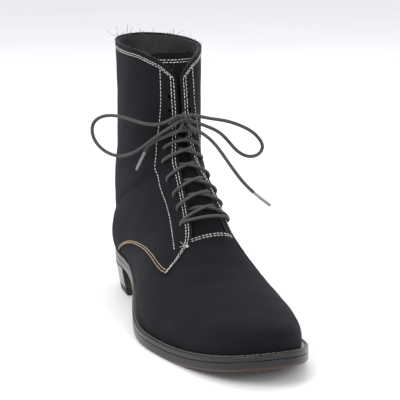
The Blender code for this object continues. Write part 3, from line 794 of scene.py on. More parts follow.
def lace_material():
    """Round braid with a thin wax, with painted shade between its strands."""
    make = Shader("braided_lace", Roughness=0.5, Sheen_Weight=0.06, Coat_Weight=0.12, Coat_Roughness=0.4)
    left = make.wave(make.place(), 0.0010, "DIAGONAL")
    right = make.wave(make.place("UV", (1, -1, 1)), 0.0010, "DIAGONAL")
    braid = make.math("MAXIMUM", left, right)
    tone = make.greys(make.noise(make.place("Object"), 120), (0.3, 0), (0.75, 1))
    base = make.mix(tone, (0.016, 0.0135, 0.0135), (0.032, 0.027, 0.027))
    # The braid pattern darkens the colour between the strands: painted shade.
    make.link("Base Color", make.shade(0.7, base, braid, (0.45, 0.25), (0.85, 1)))
    make.link("Normal", make.bump(braid, 0.00018, 0.8))
    return make.material


def tip_material():
    """Clear film crimped round the end of a lace."""
    make = Shader("lace_tip_film", Roughness=0.3)
    crimp = make.wave(make.place(), 0.002, "X")
    tone = make.noise(make.place("Object"), 300)
    make.link("Base Color", make.ramp(tone, ((0.3, (0.13, 0.13, 0.135)), (0.7, (0.20, 0.20, 0.21)))))
    make.link("Normal", make.bump(crimp, 0.0001, 0.4))
    return make.material


def edge_leather(name, dark, brown, streak=(0.10, 0.34)):
    """Waxed sole edge: the map's second value runs from its foot, 0, to its top, 1."""
    make = Shader(
        name, Roughness=0.3, Specular_IOR_Level=0.28, Coat_Weight=0.16, Coat_Roughness=0.16
    )
    split = make.node("SeparateXYZ", {"Vector": make.node("TexCoord").outputs["UV"]})
    grain = make.noise(make.place("UV", (60, 6, 1)), 3.0, 4.0)
    cloud = make.noise(make.place("Object"), 30, 3.0)
    uneven = make.math("ADD", split.outputs["Y"], make.math("MULTIPLY", cloud, 0.22))
    low, high = streak
    band = make.greys(uneven, (low, 0), (low + 0.06, 1), (high, 0.8), (high + 0.1, 0))
    make.link("Base Color", make.mix(make.math("MULTIPLY", band, grain), dark, brown))
    scuff = make.noise(make.place("UV", (220, 14, 1)), 3.0, 3.0)
    make.link("Roughness", make.greys(scuff, (0.3, 0.22), (0.8, 0.46)))
    make.link("Normal", make.bump(grain, 0.0003, 0.35))
    return make.material


def plain_leather(name, dark, light, rough=0.5, pores=900):
    """Leather with pores, faint creases and cloudy colour."""
    make = Shader(name, Roughness=rough)
    cloud = make.noise(make.place("Object"), 22, 4.0)
    make.link("Base Color", make.mix(make.greys(cloud, (0.35, 0), (0.7, 1)), dark, light))
    rub = make.noise(make.place("Object"), 60, 3.0)
    make.link("Roughness", make.greys(rub, (0.3, rough - 0.12), (0.75, rough + 0.15)))
    cells = make.node("TexVoronoi", {"Vector": make.place("Object"), "Scale": pores})
    make.link("Normal", make.bump(cells.outputs["Distance"], 0.00015, 0.5))
    return make.material


def stacked_leather():
    """Heel built of thin leather layers, sanded, stained and waxed."""
    make = Shader("stacked_heel_leather", Roughness=0.3, Coat_Weight=0.45, Coat_Roughness=0.15)
    layers = make.wave(make.place("Object"), 0.0045, "Z", 0.4)
    grain = make.noise(make.place("Object", (40, 40, 900)), 3.0, 4.0)
    base = make.mix(grain, (0.020, 0.015, 0.012), (0.055, 0.034, 0.022))
    make.link("Base Color", make.shade(0.7, base, layers, (0.0, 0.25), (0.16, 1)))
    make.link("Normal", make.bump(layers, 0.0002, 0.5, make.bump(grain, 0.0002, 0.3)))
    return make.material


def rubber_material():
    make = Shader("heel_rubber", Roughness=0.72)
    cloud = make.noise(make.place("Object"), 40)
    make.link("Base Color", make.ramp(cloud, ((0.3, (0.016, 0.015, 0.014)), (0.8, (0.030, 0.028, 0.027)))))
    fine = make.noise(make.place("Object"), 2500, 2.0)
    make.link("Normal", make.bump(fine, 0.0001, 0.5))
    return make.material


UPPER_CLOTH = cloth_material("upper_twill", (0.0050, 0.0050, 0.0066), (0.0078, 0.0078, 0.0102))
RAW_EDGE = cloth_material(
    "raw_cloth_edge", (0.012, 0.012, 0.014), (0.022, 0.022, 0.026), weave=0.0006, fuzz=0.12, nap=0.0004
)
TONGUE_CLOTH = cloth_material("tongue_twill", (0.0036, 0.0036, 0.0048), (0.0055, 0.0055, 0.0072))
LINING = plain_leather("lining_suede", (0.010, 0.010, 0.011), (0.022, 0.022, 0.024), 0.58)
OFF_WHITE = thread_material("thread_off_white", (0.62, 0.60, 0.55))
BEIGE = thread_material("thread_beige", (0.56, 0.40, 0.22))
DARK_THREAD = thread_material("thread_black", (0.016, 0.016, 0.019))
WELT_THREAD = thread_material("thread_welt", (0.10, 0.088, 0.072))
LACE = lace_material()
TIP = tip_material()


# Upper
EDGE_FRAY = (
    # height in metres, turns per rib, phase of the waves in a raw edge
    (0.00012, 61, 0),
    (0.00010, 147, 1),
)
PUNCH_SIDES = 20
PUNCH_DEPTH = 0.012
TONGUE_ROUNDING = 0.35
TONGUE_TOP_WIDTH = 0.55
TONGUE_WAVE = 0.0004
TONGUE_WAVE_TURNS = 210


def wall_grid(height):
    """The wall's surface on both sides, open at the throat, at a height over the skin."""
    low_rows = np.linspace(0, THROAT_RIB, VAMP_ROWS)
    high_rows = np.linspace(THROAT_RIB, LAST_RIB - COLLAR_TUCK, SHAFT_ROWS)[1:]
    rows = np.concatenate([low_rows, high_rows])
    down = np.concatenate([
        np.linspace(0, 1, THROAT_COLUMNS + 1),
        1 + np.linspace(0, 1, SIDE_COLUMNS + 1)[1:],
    ])
    vertices, faces, uvs = [], [], []
    for side in (1, -1):
        u = rows[:, None] + 0 * down
        edge = smooth(FACING, 1, u)
        v = np.where(down <= 1, down * edge, edge + (down - 1) * (1 - edge))
        points = cloth(collar_rib(u, v), v, side, height)
        vamp_rows = rows[:VAMP_ROWS]
        other_half = cloth(vamp_rows, 0 * vamp_rows, -side, height)
        points[:VAMP_ROWS, 0] = (points[:VAMP_ROWS, 0] + other_half) / 2
        start = sum(len(block) for block in vertices)

        def kept(row, col):
            return col >= THROAT_COLUMNS or rows[row + 1] <= THROAT_RIB + EPSILON

        vertices.append(points.reshape(-1, 3))
        uvs.append(grid_map(points) + (0, MAP_SHIFT * (side > 0)))
        faces += grid_faces(len(rows), len(down), start, kept)
    return np.concatenate(vertices), faces, np.concatenate(uvs)


def make_wall():
    vertices, faces, uvs = wall_grid(0.0)
    wall = make_object("upper_wall", vertices, faces, uvs, [UPPER_CLOTH, RAW_EDGE])
    return thicken(wall, CLOTH, rim=1)


def make_lining():
    vertices, faces, uvs = wall_grid(-CLOTH - LINING_GAP)
    lining = make_object("upper_lining", vertices, faces, uvs, [LINING])
    return thicken(lining, WALL - CLOTH - LINING_GAP)


def quarter_edges(u, side):
    """Front and lower edge of a quarter, as shares down the rib."""
    table = QUARTERS[side]
    waist = table[-1][0]
    front = np.where(u < waist, smooth(table, 1, u), smooth(FACING, 1, u) - FACING_LIP)
    blend = smoothstep(table[3][0], table[4][0], u)
    front = front * (1 - blend) + (smooth(FACING, 1, u) - FACING_LIP) * blend
    hem = np.where(u < FIRST_SHAFT_RIB, QUARTER_HEM, 1.0)
    low = np.where(u < waist, smooth(table, 2, u), hem)
    return front, low


def make_quarter(side):
    """A quarter's cloth from its tip to the collar, lying on the vamp, with a raw edge."""
    table = QUARTERS[side]
    rows = np.concatenate([
        np.linspace(table[0][0], table[-1][0], QUARTER_TIP_ROWS),
        np.linspace(table[-1][0], LAST_RIB, QUARTER_ROWS)[1:],
    ])
    u = rows[:, None] + np.zeros(QUARTER_COLUMNS)
    front, low = quarter_edges(u, side)
    share = np.linspace(0, 1, QUARTER_COLUMNS)
    v = front + (low - front) * share
    fray = sum(height * np.sin(rows * turns + phase) for height, turns, phase in EDGE_FRAY)
    fray = fray / run_length(rows, 0.3 + 0 * rows, side, 0.0, 0.01)
    v = v + fray[:, None] * (1 - share) ** 8
    points = cloth(collar_rib(u, v), v, side, QUARTER_STEP)
    faces = grid_faces(len(rows), QUARTER_COLUMNS)
    name = "quarter_lateral_cloth" if side > 0 else "quarter_medial_cloth"
    quarter = make_object(name, points.reshape(-1, 3), faces, grid_map(points), [UPPER_CLOTH, RAW_EDGE])
    return thicken(quarter, QUARTER_CLOTH, rim=1)


def punch(pieces):
    """Cuts the eyelets through the cloth and the lining."""
    cutters = bpy.data.collections.new("punches")
    bpy.context.scene.collection.children.link(cutters)
    form = bmesh.new()
    radius = EYELET_HOLE / 2
    bmesh.ops.create_cone(
        form, cap_ends=True, segments=PUNCH_SIDES, radius1=radius, radius2=radius, depth=PUNCH_DEPTH
    )
    mesh = bpy.data.meshes.new("punch")
    form.to_mesh(mesh)
    form.free()
    for side in (1, -1):
        for u, v in EYELETS:
            where = collar_rib(u, v)
            cutter = bpy.data.objects.new("punch", mesh)
            cutter.location = Vector(cloth(where, v, side))
            normal = Vector(skin_normal(where, v, side))
            cutter.rotation_mode = "QUATERNION"
            cutter.rotation_quaternion = normal.to_track_quat("Z", "Y")
            cutters.objects.link(cutter)
    for piece in pieces:
        cut = piece.modifiers.new("eyelets", "BOOLEAN")
        cut.operation = "DIFFERENCE"
        cut.solver = "EXACT"
        cut.operand_type = "COLLECTION"
        cut.collection = cutters
        apply_modifiers(piece)
    for cutter in list(cutters.objects):
        bpy.data.objects.remove(cutter)
    bpy.data.collections.remove(cutters)


def make_tongue():
    """The tongue's cloth, with its outer points for the seams at its top."""
    rows = np.linspace(TONGUE[0][0], TONGUE[-1][0], TONGUE_ROWS)
    across = np.linspace(-1, 1, TONGUE_COLUMNS)
    half = smooth(TONGUE, 1, rows)
    top = 1 - np.clip((rows - rows[-1] + TONGUE_ROUNDING) / TONGUE_ROUNDING, 0, 1) ** 2
    half = half * (TONGUE_TOP_WIDTH + (1 - TONGUE_TOP_WIDTH) * np.sqrt(np.clip(top, 0, 1)))
    depth = WALL + TONGUE_CLEARANCE
    points = np.zeros((TONGUE_ROWS, TONGUE_COLUMNS, 3))
    for j, share in enumerate(across):
        side = 1 if share >= 0 else -1
        v = abs(share) * half
        points[:, j] = above_skin(collar_rib(rows, TONGUE_TOP_SHARE), v, side, -depth)
    points[..., 1] += TONGUE_WAVE * np.sin(points[..., 2] * TONGUE_WAVE_TURNS) * (1 - across**2)
    faces = grid_faces(TONGUE_ROWS, TONGUE_COLUMNS)
    materials = [TONGUE_CLOTH, RAW_EDGE]
    tongue = make_object("tongue_cloth", points.reshape(-1, 3), faces, grid_map(points), materials)
    return thicken(tongue, TONGUE_THICKNESS, rim=1), points


# Thread
BRAID_PITCH = 0.0012
BRAID_STRANDS = 3
STITCH_PROFILE = (
    # share of the stitch's length from its middle, height over the cloth in thread diameters
    (-0.5, -0.55),
    (-0.36, 0.25),
    (0.0, 0.42),
    (0.36, 0.25),
    (0.5, -0.55),
)
STITCH_JITTER = 0.06
STITCH_LEAN = 0.18
SEAM_SAMPLES = 700
SEAM_END = 0.012
VAMP_ARC = 0.225
VAMP_ARC_ROWS = (0.0016, 0.0034)
TONGUE_SEAM_ROWS = (4, 5)
TONGUE_FRONT = (0.0, 0.96, 0.28)


def tube_mesh(path, radius, sides=6, closed_ends=True, braid=0.0):
    """Vertices, faces and metric map of a round tube; braid raises crossed strands on it."""
    path = np.asarray(path, float)
    tangent = np.gradient(path, axis=0)
    tangent /= np.linalg.norm(tangent, axis=1)[:, None]
    side = np.cross(tangent[0], (0.3, 0.5, 0.81))
    side /= np.linalg.norm(side)
    frames = []
    for t in tangent:
        side = side - t * (side @ t)
        side /= np.linalg.norm(side)
        frames.append((side, np.cross(t, side)))
    length = lengths_along(path)
    radius = np.broadcast_to(radius, len(path))
    angle = np.linspace(0, 2 * np.pi, sides, endpoint=False)
    vertices, uvs = [], []
    for centre, (a, b), r, along_it in zip(path, frames, radius, length):
        phase = along_it / BRAID_PITCH * np.pi
        strands = BRAID_STRANDS * angle
        lift = np.maximum(np.sin(strands + phase), np.sin(strands - phase))
        rim = r * (1 + braid * (lift - 0.5))
        spokes = np.outer(np.cos(angle), a) + np.outer(np.sin(angle), b)
        vertices.append(centre + rim[:, None] * spokes)
        uvs.append(np.stack([0 * angle + along_it, angle * r], -1))
    faces = []
    for ring in range(len(path) - 1):
        for i in range(sides):
            j = (i + 1) % sides
            a = ring * sides
            faces.append((a + i, a + j, a + sides + j, a + sides + i))
    if closed_ends:
        faces.append(tuple(range(sides)))
        faces.append(tuple((len(path) - 1) * sides + i for i in range(sides)))
    return np.concatenate(vertices), faces, np.concatenate(uvs)


def join_tubes(name, tubes, colour, merge=0.0):
    """One mesh object of many tubes."""
    vertices, faces, uvs = [], [], []
    start = 0
    for points, quads, spots in tubes:
        vertices.append(points)
        uvs.append(spots)
        faces += [tuple(start + k for k in face) for face in quads]
        start += len(points)
    vertices, uvs = np.concatenate(vertices), np.concatenate(uvs)
    return make_object(name, vertices, faces, uvs, [colour], merge=merge)


def stitch_tubes(line, lifts, pitch=STITCH_PITCH, length=STITCH_LENGTH, thread=THREAD):
    """Raised stitches along a line; lifts are the normals of the cloth under its points."""
    run = lengths_along(line)
    count = max(1, int(run[-1] / pitch))
    places, heights = np.array(STITCH_PROFILE).T
    arch = heights[:, None] * thread
    lean = np.linspace(-STITCH_LEAN, STITCH_LEAN, len(places))[:, None] * thread
    tubes = []
    for k in range(count):
        jitter = STITCH_JITTER * pitch * np.sin(k * 2.3)
        middle = (k + 0.5) * run[-1] / count + jitter
        where = np.clip(middle + length * places, 0, run[-1])
        points = np.stack([np.interp(where, run, line[:, i]) for i in range(3)], -1)
        normal = np.stack([np.interp(where, run, lifts[:, i]) for i in range(3)], -1)
        skew = np.cross(normal, points[-1] - points[0])
        skew /= np.linalg.norm(skew, axis=1)[:, None] + 1e-9
        tubes.append(tube_mesh(points + arch * normal + lean * skew, thread / 2, 6))
    return tubes


def surface_line(u, v, side, height):
    """Points over the cloth and its normals, for ribs u and shares v."""
    u, v = np.broadcast_arrays(np.asarray(u, float), np.asarray(v, float))
    where = collar_rib(u, v)
    return cloth(where, v, side, height), skin_normal(where, v, side)


def offset_v(u, v, side, distance):
    """The share that lies a distance further down the rib."""
    u, v = np.broadcast_arrays(np.asarray(u, float), np.asarray(v, float))
    return v + distance / run_length(collar_rib(u, v), v, side, 0.0, 0.01)


def offset_collar(v, side, distance):
    """The rib that lies a distance below the collar's edge."""
    u = np.full(v.shape, float(LAST_RIB))
    return u - distance / run_length(collar_rib(u - 0.3, v), v, side, 0.1, 0.0)


SINGLE_ROW = (
    # rib, share down the rib, of the row behind the eyelets
    (7.50, 0.369),
    (8.90, 0.344),
    (10.30, 0.306),
    (12.00, 0.262),
    (14.35, 0.214),
    (15.90, 0.188),
    (17.30, 0.156),
    (18.80, 0.130),
    (20.60, 0.118),
)
COLLAR_ROW_STARTS = (0.034, 0.046)
TACKS = (
    # side, rib, share down the rib
    (1, 7.32, 0.262),
    (-1, 6.95, 0.30),
)
TACK_PITCH = 0.0005
TACK_REACH = 0.0011
TACK_LIFT = 0.0004
TAIL_LENGTH = 0.0052
TAIL_RADIUS = 0.00014
FRAY_COUNT = 700
FRAY_LONG = (0.004, 0.009)
FRAY_SHORT = (0.0008, 0.0028)
FRAY_ROOT = 0.0006
NAP_COUNT = 1000
NAP_LENGTH = (0.001, 0.0026)
NAP_RIBS = (19.2, 20.9)


def edge_row(side, distance, top):
    """A row that follows the facing's front edge from the collar to the quarter's tip."""
    table = QUARTERS[side]
    u = np.linspace(top, table[0][0] + 0.06, SEAM_SAMPLES)
    front, low = quarter_edges(u, side)
    v = offset_v(u, front, side, distance)
    inside = v < low - SEAM_END
    return surface_line(u[inside], v[inside], side, QUARTER_STEP)


def lower_row(side, distance):
    """A row that follows the quarter's lower edge from its tip to the sole."""
    table = QUARTERS[side]
    u = np.linspace(table[0][0] + 0.08, table[-1][0] + 0.02, 400)
    front, low = quarter_edges(np.minimum(u, table[-1][0] - EPSILON), side)
    v = offset_v(u, low, side, -distance)
    inside = v > front + SEAM_END
    return surface_line(u[inside], v[inside], side, QUARTER_STEP)


def collar_row(side, distance, start):
    v = start + (1 - start) * np.linspace(0, 1, 600) ** 1.5
    return surface_line(offset_collar(v, side, distance), v, side, QUARTER_STEP)


def make_stitching(tongue_points):
    """Contrast seams in off-white, the outer lower seam in beige."""
    white, beige = [], []
    for side in (1, -1):
        for distance, below, start in zip((EDGE_ROW, SECOND_ROW), COLLAR_ROWS, COLLAR_ROW_STARTS):
            top = offset_collar(np.array([start]), side, below)[0]
            white += stitch_tubes(*edge_row(side, distance, top))
            white += stitch_tubes(*collar_row(side, below, start))
            target = beige if side > 0 else white
            target += stitch_tubes(*lower_row(side, distance))
        u = np.linspace(SINGLE_ROW[0][0], SINGLE_ROW[-1][0], 500)
        white += stitch_tubes(*surface_line(u, smooth(SINGLE_ROW, 1, u), side, QUARTER_STEP))
    for inset in VAMP_ARC_ROWS:
        arc, lifts = [], []
        for side in (1, -1):
            v = np.linspace(0.0, VAMP_ARC, 60)
            u = THROAT_RIB - inset / run_length(THROAT_RIB + 0 * v, v, side, 0.1, 0.0)
            points, normals = surface_line(u, v, side, 0.0)
            arc.append(points if side > 0 else points[:0:-1])
            lifts.append(normals if side > 0 else normals[:0:-1])
        arc, lifts = np.concatenate(arc[::-1]), np.concatenate(lifts[::-1])
        white += stitch_tubes(arc, lifts)
    for back in TONGUE_SEAM_ROWS:
        row = tongue_points[-back, 3:-3]
        white += stitch_tubes(row, np.tile(TONGUE_FRONT, (len(row), 1)))
    dress(join_tubes("seams_off_white", white, OFF_WHITE), "cloth", "upper")
    dress(join_tubes("seams_beige", beige, BEIGE), "cloth", "upper")


def make_tacks():
    """Bar tacks at the tips, with tails of thread."""
    tubes = []
    for side, u, v in TACKS:
        centre, normal = surface_line(u, v, side, QUARTER_STEP + TACK_LIFT)
        down = skin(u, v + 0.02, side) - skin(u, v, side)
        down /= np.linalg.norm(down)
        across = np.cross(normal, down)
        for k in range(-2, 3):
            middle = centre + across * TACK_PITCH * k
            start, stop = middle - down * TACK_REACH, middle + down * TACK_REACH
            tubes.append(tube_mesh(np.linspace(start, stop, 4), THREAD / 2.4))
        for tail in range(2):
            turn = 0.9 * tail - 0.9
            drift = down * np.cos(turn) + across * np.sin(turn)
            share = np.linspace(0, 1, 9)[:, None]
            curl = 0.0009 * np.sin(5 * share + tail) * across
            rise = normal * (0.0005 + 0.0014 * share)
            path = centre + drift * share * TAIL_LENGTH + curl + rise
            tubes.append(tube_mesh(path, TAIL_RADIUS, 5))
    dress(join_tubes("thread_tails", tubes, OFF_WHITE), "cloth", "upper")


def scattered(count, v_range, u_range, heights):
    """Roots and normals of fibres strewn over both sides of the collar."""
    roots, normals, shares = [], [], []
    for side in (1, -1):
        v = random.uniform(*v_range, count // 2)
        u = random.uniform(*u_range, count // 2)
        height = random.uniform(*heights, count // 2)
        points, up = surface_line(u, v, side, height)
        roots.append(points)
        normals.append(up)
        shares.append(v)
    return np.concatenate(roots), np.concatenate(normals), np.concatenate(shares)


def fibre(root, drift, length, curl, steps, radius):
    """A thin three-sided tube that bends away from its drift."""
    drift = drift / np.linalg.norm(drift)
    share = np.linspace(0, 1, steps)[:, None]
    bend = random.normal(size=3) * length * curl
    return tube_mesh(root + drift * length * share + bend * share**2, radius, 3)


def make_fray():
    """Loose black fibres of the raw collar edge, a few long ones at the back."""
    tubes = []
    up = np.array((0.0, 0.0, 1.0))
    edge = (LAST_RIB - 0.06, LAST_RIB - 0.02)
    where = scattered(FRAY_COUNT, (0.04, 1.0), edge, (-WALL, QUARTER_STEP))
    for root, normal, v in zip(*where):
        long_one = random.random() < (0.12 if v > 0.7 else 0.03)
        length = random.uniform(*(FRAY_LONG if long_one else FRAY_SHORT))
        drift = up + normal * random.normal() * 0.5 + random.normal(size=3) * 0.55
        radius = 0.00011 if long_one else 0.00009
        tubes.append(fibre(root - up * FRAY_ROOT, drift, length, 0.22, 6, radius))
    dress(join_tubes("collar_fray", tubes, DARK_THREAD), "cloth", "upper")


def make_nap():
    """Short fibres on the lining just below the collar."""
    tubes = []
    for root, normal, _ in zip(*scattered(NAP_COUNT, (0.30, 1.0), NAP_RIBS, (-WALL, -WALL))):
        drift = random.normal(size=3) * 0.7 - normal
        tubes.append(fibre(root, drift, random.uniform(*NAP_LENGTH), 0.3, 4, 0.0001))
    dress(join_tubes("lining_nap", tubes, DARK_THREAD), "cloth", "upper")


# Laces
LACE_SIDES = 12
LACE_BRAID = 0.06
BOW_BRAID = 0.05
EYELET_HEIGHTS = (-0.0040, -0.0012, 0.0016)
RUN_OVER = (
    # share from the middle, height over the skin, of a run from its own eyelet to the far facing
    (-1.00, -0.0040),
    (-1.00, -0.0012),
    (-0.97, 0.0016),
    (-0.86, 0.0029),
    (-0.66, 0.0026),
    (-0.34, 0.0018),
    (0.00, 0.0012),
    (0.30, 0.0000),
    (0.55, -0.0022),
    (0.78, -0.0034),
)
BAR_HALF = (
    # share from the middle, height over the skin, of half the bar at the throat
    (1.00, -0.0040),
    (1.00, -0.0012),
    (0.97, 0.0016),
    (0.86, 0.0029),
    (0.60, 0.0024),
    (0.30, 0.0016),
)
BAR_MIDDLE = 0.0014
RUN_SAG = 0.16
OVER_LIFT = 0.0010
OVER_STEP = 0.0006
LEAD_WAYS = (
    # across, along and up from the knot, for the lateral lead
    (0.0062, -0.0052, -0.0030),
    (0.0022, -0.0030, -0.0006),
)
KNOT_TIGHTNESS = 0.94
KNOT_BAND = (0.0007, 0.0023, 0.0030)
KNOT_STRANDS = (
    # points from the knot's middle: two strands across, two leaving downwards
    (
        (0.0052, 0.0000, 0.0016),
        (0.0026, 0.0010, 0.0013),
        (0.0000, 0.0006, 0.0008),
        (-0.0026, 0.0010, 0.0013),
        (-0.0058, 0.0000, 0.0016),
    ),
    (
        (0.0050, 0.0010, -0.0028),
        (0.0028, 0.0014, -0.0018),
        (0.0002, 0.0006, -0.0012),
        (-0.0026, 0.0014, -0.0018),
        (-0.0056, 0.0010, -0.0029),
    ),
    (
        (-0.0010, -0.0010, 0.0014),
        (0.0006, -0.0018, -0.0008),
        (0.0012, -0.0009, -0.0030),
        (0.0019, -0.0006, -0.0049),
    ),
    (
        (0.0008, -0.0004, 0.0012),
        (-0.0010, -0.0012, -0.0008),
        (-0.0020, 0.0002, -0.0030),
        (-0.0029, 0.0009, -0.0051),
    ),
)


def lace_run(first, second, side, lift):
    """A lace out of eyelet first, over its own facing and under the far one to eyelet second."""
    points = []
    for share, height in RUN_OVER:
        reach = abs(share)
        here = side if share < 0 else -side
        u_near, v_near = EYELETS[first]
        u_far, v_far = EYELETS[second]
        u = u_near + (u_far - u_near) * (share + 1) / 2
        v = reach * (v_near if share < 0 else v_far)
        bow = lift * (1 - share**2)
        sag = RUN_SAG * (1 - share**2)
        points.append(cloth(collar_rib(u + sag, v), v, here, height + bow))
    return cord_points(points, 0.0, 0.0)


def bottom_bar():
    """The straight lace at the throat, out of one lowest eyelet and into the other."""
    u, v = EYELETS[-1]
    lateral, medial = [
        [cloth(u, v * share, side, height) for share, height in BAR_HALF] for side in (1, -1)
    ]
    middle = cloth(u, 0.0, 1, BAR_MIDDLE)
    return cord_points([*lateral, middle, *medial[::-1]], 0.0, 0.0)


def make_crossings():
    """The laces between the facings, up to the third eyelets, and the leads to the knot."""
    tubes = []
    radius = LACE_DIAMETER / 2
    tubes.append(tube_mesh(bottom_bar(), radius, LACE_SIDES, braid=LACE_BRAID))
    last = len(EYELETS) - 1
    for number in range(last, FIRST_LACED, -1):
        over = OVER_LIFT + OVER_STEP * ((number * 7) % 3 - 1)
        for side, lift in ((1, over), (-1, -OVER_STEP)):
            path = lace_run(number, number - 1, side, lift)
            tubes.append(tube_mesh(path, radius, LACE_SIDES, braid=LACE_BRAID))
    u, v = EYELETS[FIRST_LACED]
    for side in (1, -1):
        hole = [cloth(collar_rib(u, v), v, side, height) for height in EYELET_HEIGHTS]
        ways = [np.array(KNOT) + (side * x, y, z) for x, y, z in LEAD_WAYS]
        path = cord_points(np.array(hole + ways), 0.0, 0.0)
        tubes.append(tube_mesh(path, radius, LACE_SIDES, braid=LACE_BRAID))
    dress(join_tubes("lace_crossings", tubes, LACE), "lace", "lace_bars")


def make_knot():
    """Two loops of cord drawn through a tight band."""
    radius = LACE_DIAMETER / 2 * KNOT_TIGHTNESS
    turn = np.linspace(0, 2 * np.pi, 41)
    knot = np.array(KNOT)
    band = np.stack([np.sin(turn), np.cos(turn), np.sin(turn)], -1) * KNOT_BAND
    tubes = [tube_mesh(knot + band, radius, LACE_SIDES, closed_ends=False, braid=LACE_BRAID)]
    for strand in KNOT_STRANDS:
        path = cord_points(knot + np.array(strand), 0.0, 0.0)
        tubes.append(tube_mesh(path, radius, LACE_SIDES, braid=LACE_BRAID))
    dress(join_tubes("lace_knot_wraps", tubes, LACE), "lace", "lace_knot")


def make_bow():
    """Loops and ends at their real length, the ends with film tips."""
    for name, route in ROUTES.items():
        tipped = "end" in name
        last = -TIP_LENGTH - SEAM_GAP if tipped else 0.0
        path = cord_points(route, 0.0, last)
        mesh = tube_mesh(path, LACE_DIAMETER / 2, LACE_SIDES, braid=BOW_BRAID)
        cord = dress(join_tubes(name + "_cord", [mesh], LACE), "lace", name)
        if tipped:
            tip_path = cord_points(route, -TIP_LENGTH, 0.0)
            share = np.linspace(0, 1, len(tip_path))
            taper = TIP_DIAMETER / 2 * np.where(share > 0.9, 1 - 2.5 * (share - 0.9), 1.0)
            tip_name = name.replace("end", "tip")
            tip = join_tubes(tip_name + "_film", [tube_mesh(tip_path, taper, 14)], TIP)
            dress(tip, "lace_tip", tip_name)


# Sole
WELT_STITCHES = (0.0034, 0.0026, 0.0007)
WELT_STITCH_START = 0.27
WELT_STITCH_INSET = 0.42
WELT_STITCH_LIFT = 0.0001
HEEL_LAYERS = 4
LAYER_GROOVE = 0.00022
LAYER_ROUND = 0.0003
LIFT_PROFILE = (
    # height, inset
    (0.0, 0.0008),
    (0.0003, 0.0003),
    (0.0010, 0.0),
    (LIFT_THICKNESS - 0.0003, 0.0),
    (LIFT_THICKNESS, 0.0002),
)


def ring(inset, height):
    """The sole's outline, set in and lifted; both are functions of the share of length."""
    t = stations(0.0, 1.0, SOLE_STATIONS)
    lateral = np.stack([*inset_edge(t, 1, inset(t)), height(t)], -1)
    medial = np.stack([*inset_edge(t, -1, inset(t)), height(t)], -1)
    return np.concatenate([lateral, medial[-2:0:-1]])


def heel_ring(inset, height):
    breast = HEEL_LENGTH / SOLE_LENGTH
    t = stations(0.0, breast, SOLE_STATIONS // 2)
    level = np.full(t.shape, height)
    lateral = np.stack([*inset_edge(t, 1, inset), level], -1)
    medial = np.stack([*inset_edge(t, -1, inset), level], -1)
    lateral[-1, 1] = medial[-1, 1] = y_at(breast)
    middle = (lateral[-1] + medial[-1]) / 2
    return np.concatenate([lateral, middle[None], medial[:0:-1]])


def loft(name, rings, shares, materials, cap_low=0, cap_high=0, hollow=False):
    """A solid through rings; shares are the map's second value at each ring."""
    count = len(rings[0])
    half = count // 2
    vertices = np.concatenate(rings)
    run = np.linalg.norm(np.roll(rings[0], -1, axis=0) - rings[0], axis=1)
    along_it = np.concatenate([[0], np.cumsum(run)[:-1]])
    uvs = np.concatenate([np.stack([along_it, 0 * along_it + share], -1) for share in shares])
    faces, index = [], []
    layers = len(rings) if hollow else len(rings) - 1
    for layer in range(layers):
        for i in range(count):
            j = (i + 1) % count
            a = layer * count
            b = (layer + 1) % len(rings) * count
            faces.append((a + i, a + j, b + j, b + i))
            index.append(0)
    if not hollow:
        for start, slot in ((0, cap_low), ((len(rings) - 1) * count, cap_high)):
            for i in range(half):
                a, b = start + i, start + i + 1
                c, d = start + (count - i - 1) % count, start + (count - i) % count
                corners = (a, b, c, d) if i else (a, b, c)
                faces.append((a, b, d) if b == c else corners)
                index.append(slot)
    made = make_object(name, vertices, faces, uvs, materials, index)
    made.data.set_sharp_from_angle(angle=0.6)
    return made


def waist_bevel(t):
    waist = smoothstep(*WAIST_START, t) * (1 - smoothstep(*WAIST_END, t))
    return EDGE_ROUND + WAIST_BEVEL * waist


def rounded_side(low, high, foot, shoulder, steps=5):
    """Rings of a side with a rounded foot and shoulder: inset and share of the height."""
    profile = []
    for k in range(steps + 1):
        turn = math.pi / 2 * k / steps
        profile.append((foot * (1 - math.sin(turn)), low * (1 - math.cos(turn))))
    for k in range(steps + 1):
        turn = math.pi / 2 * k / steps
        profile.append((shoulder * (1 - math.cos(turn)), 1 - high * (1 - math.sin(turn))))
    return profile


def make_outsole():
    rings, shares = [], []
    for inset, share in rounded_side(0.30, 0.08, 1.0, 0.0006 / EDGE_ROUND, 5):
        low_part = share < 0.5

        def side_inset(t, inset=inset, low_part=low_part):
            return inset * (waist_bevel(t) if low_part else EDGE_ROUND)

        def side_height(t, share=share):
            return tread_z(t) + share * OUTSOLE_THICKNESS

        rings.append(ring(side_inset, side_height))
        shares.append(share)
    tread = plain_leather("tread_leather", (0.050, 0.030, 0.020), (0.085, 0.052, 0.034), 0.42, 600)
    edge = edge_leather("sole_edge", (0.0085, 0.0072, 0.0068), (0.075, 0.034, 0.018))
    outsole = loft("outsole_leather", rings, shares, [edge, tread], cap_low=1, cap_high=1)
    dress(outsole, "sole_leather", "outsole")


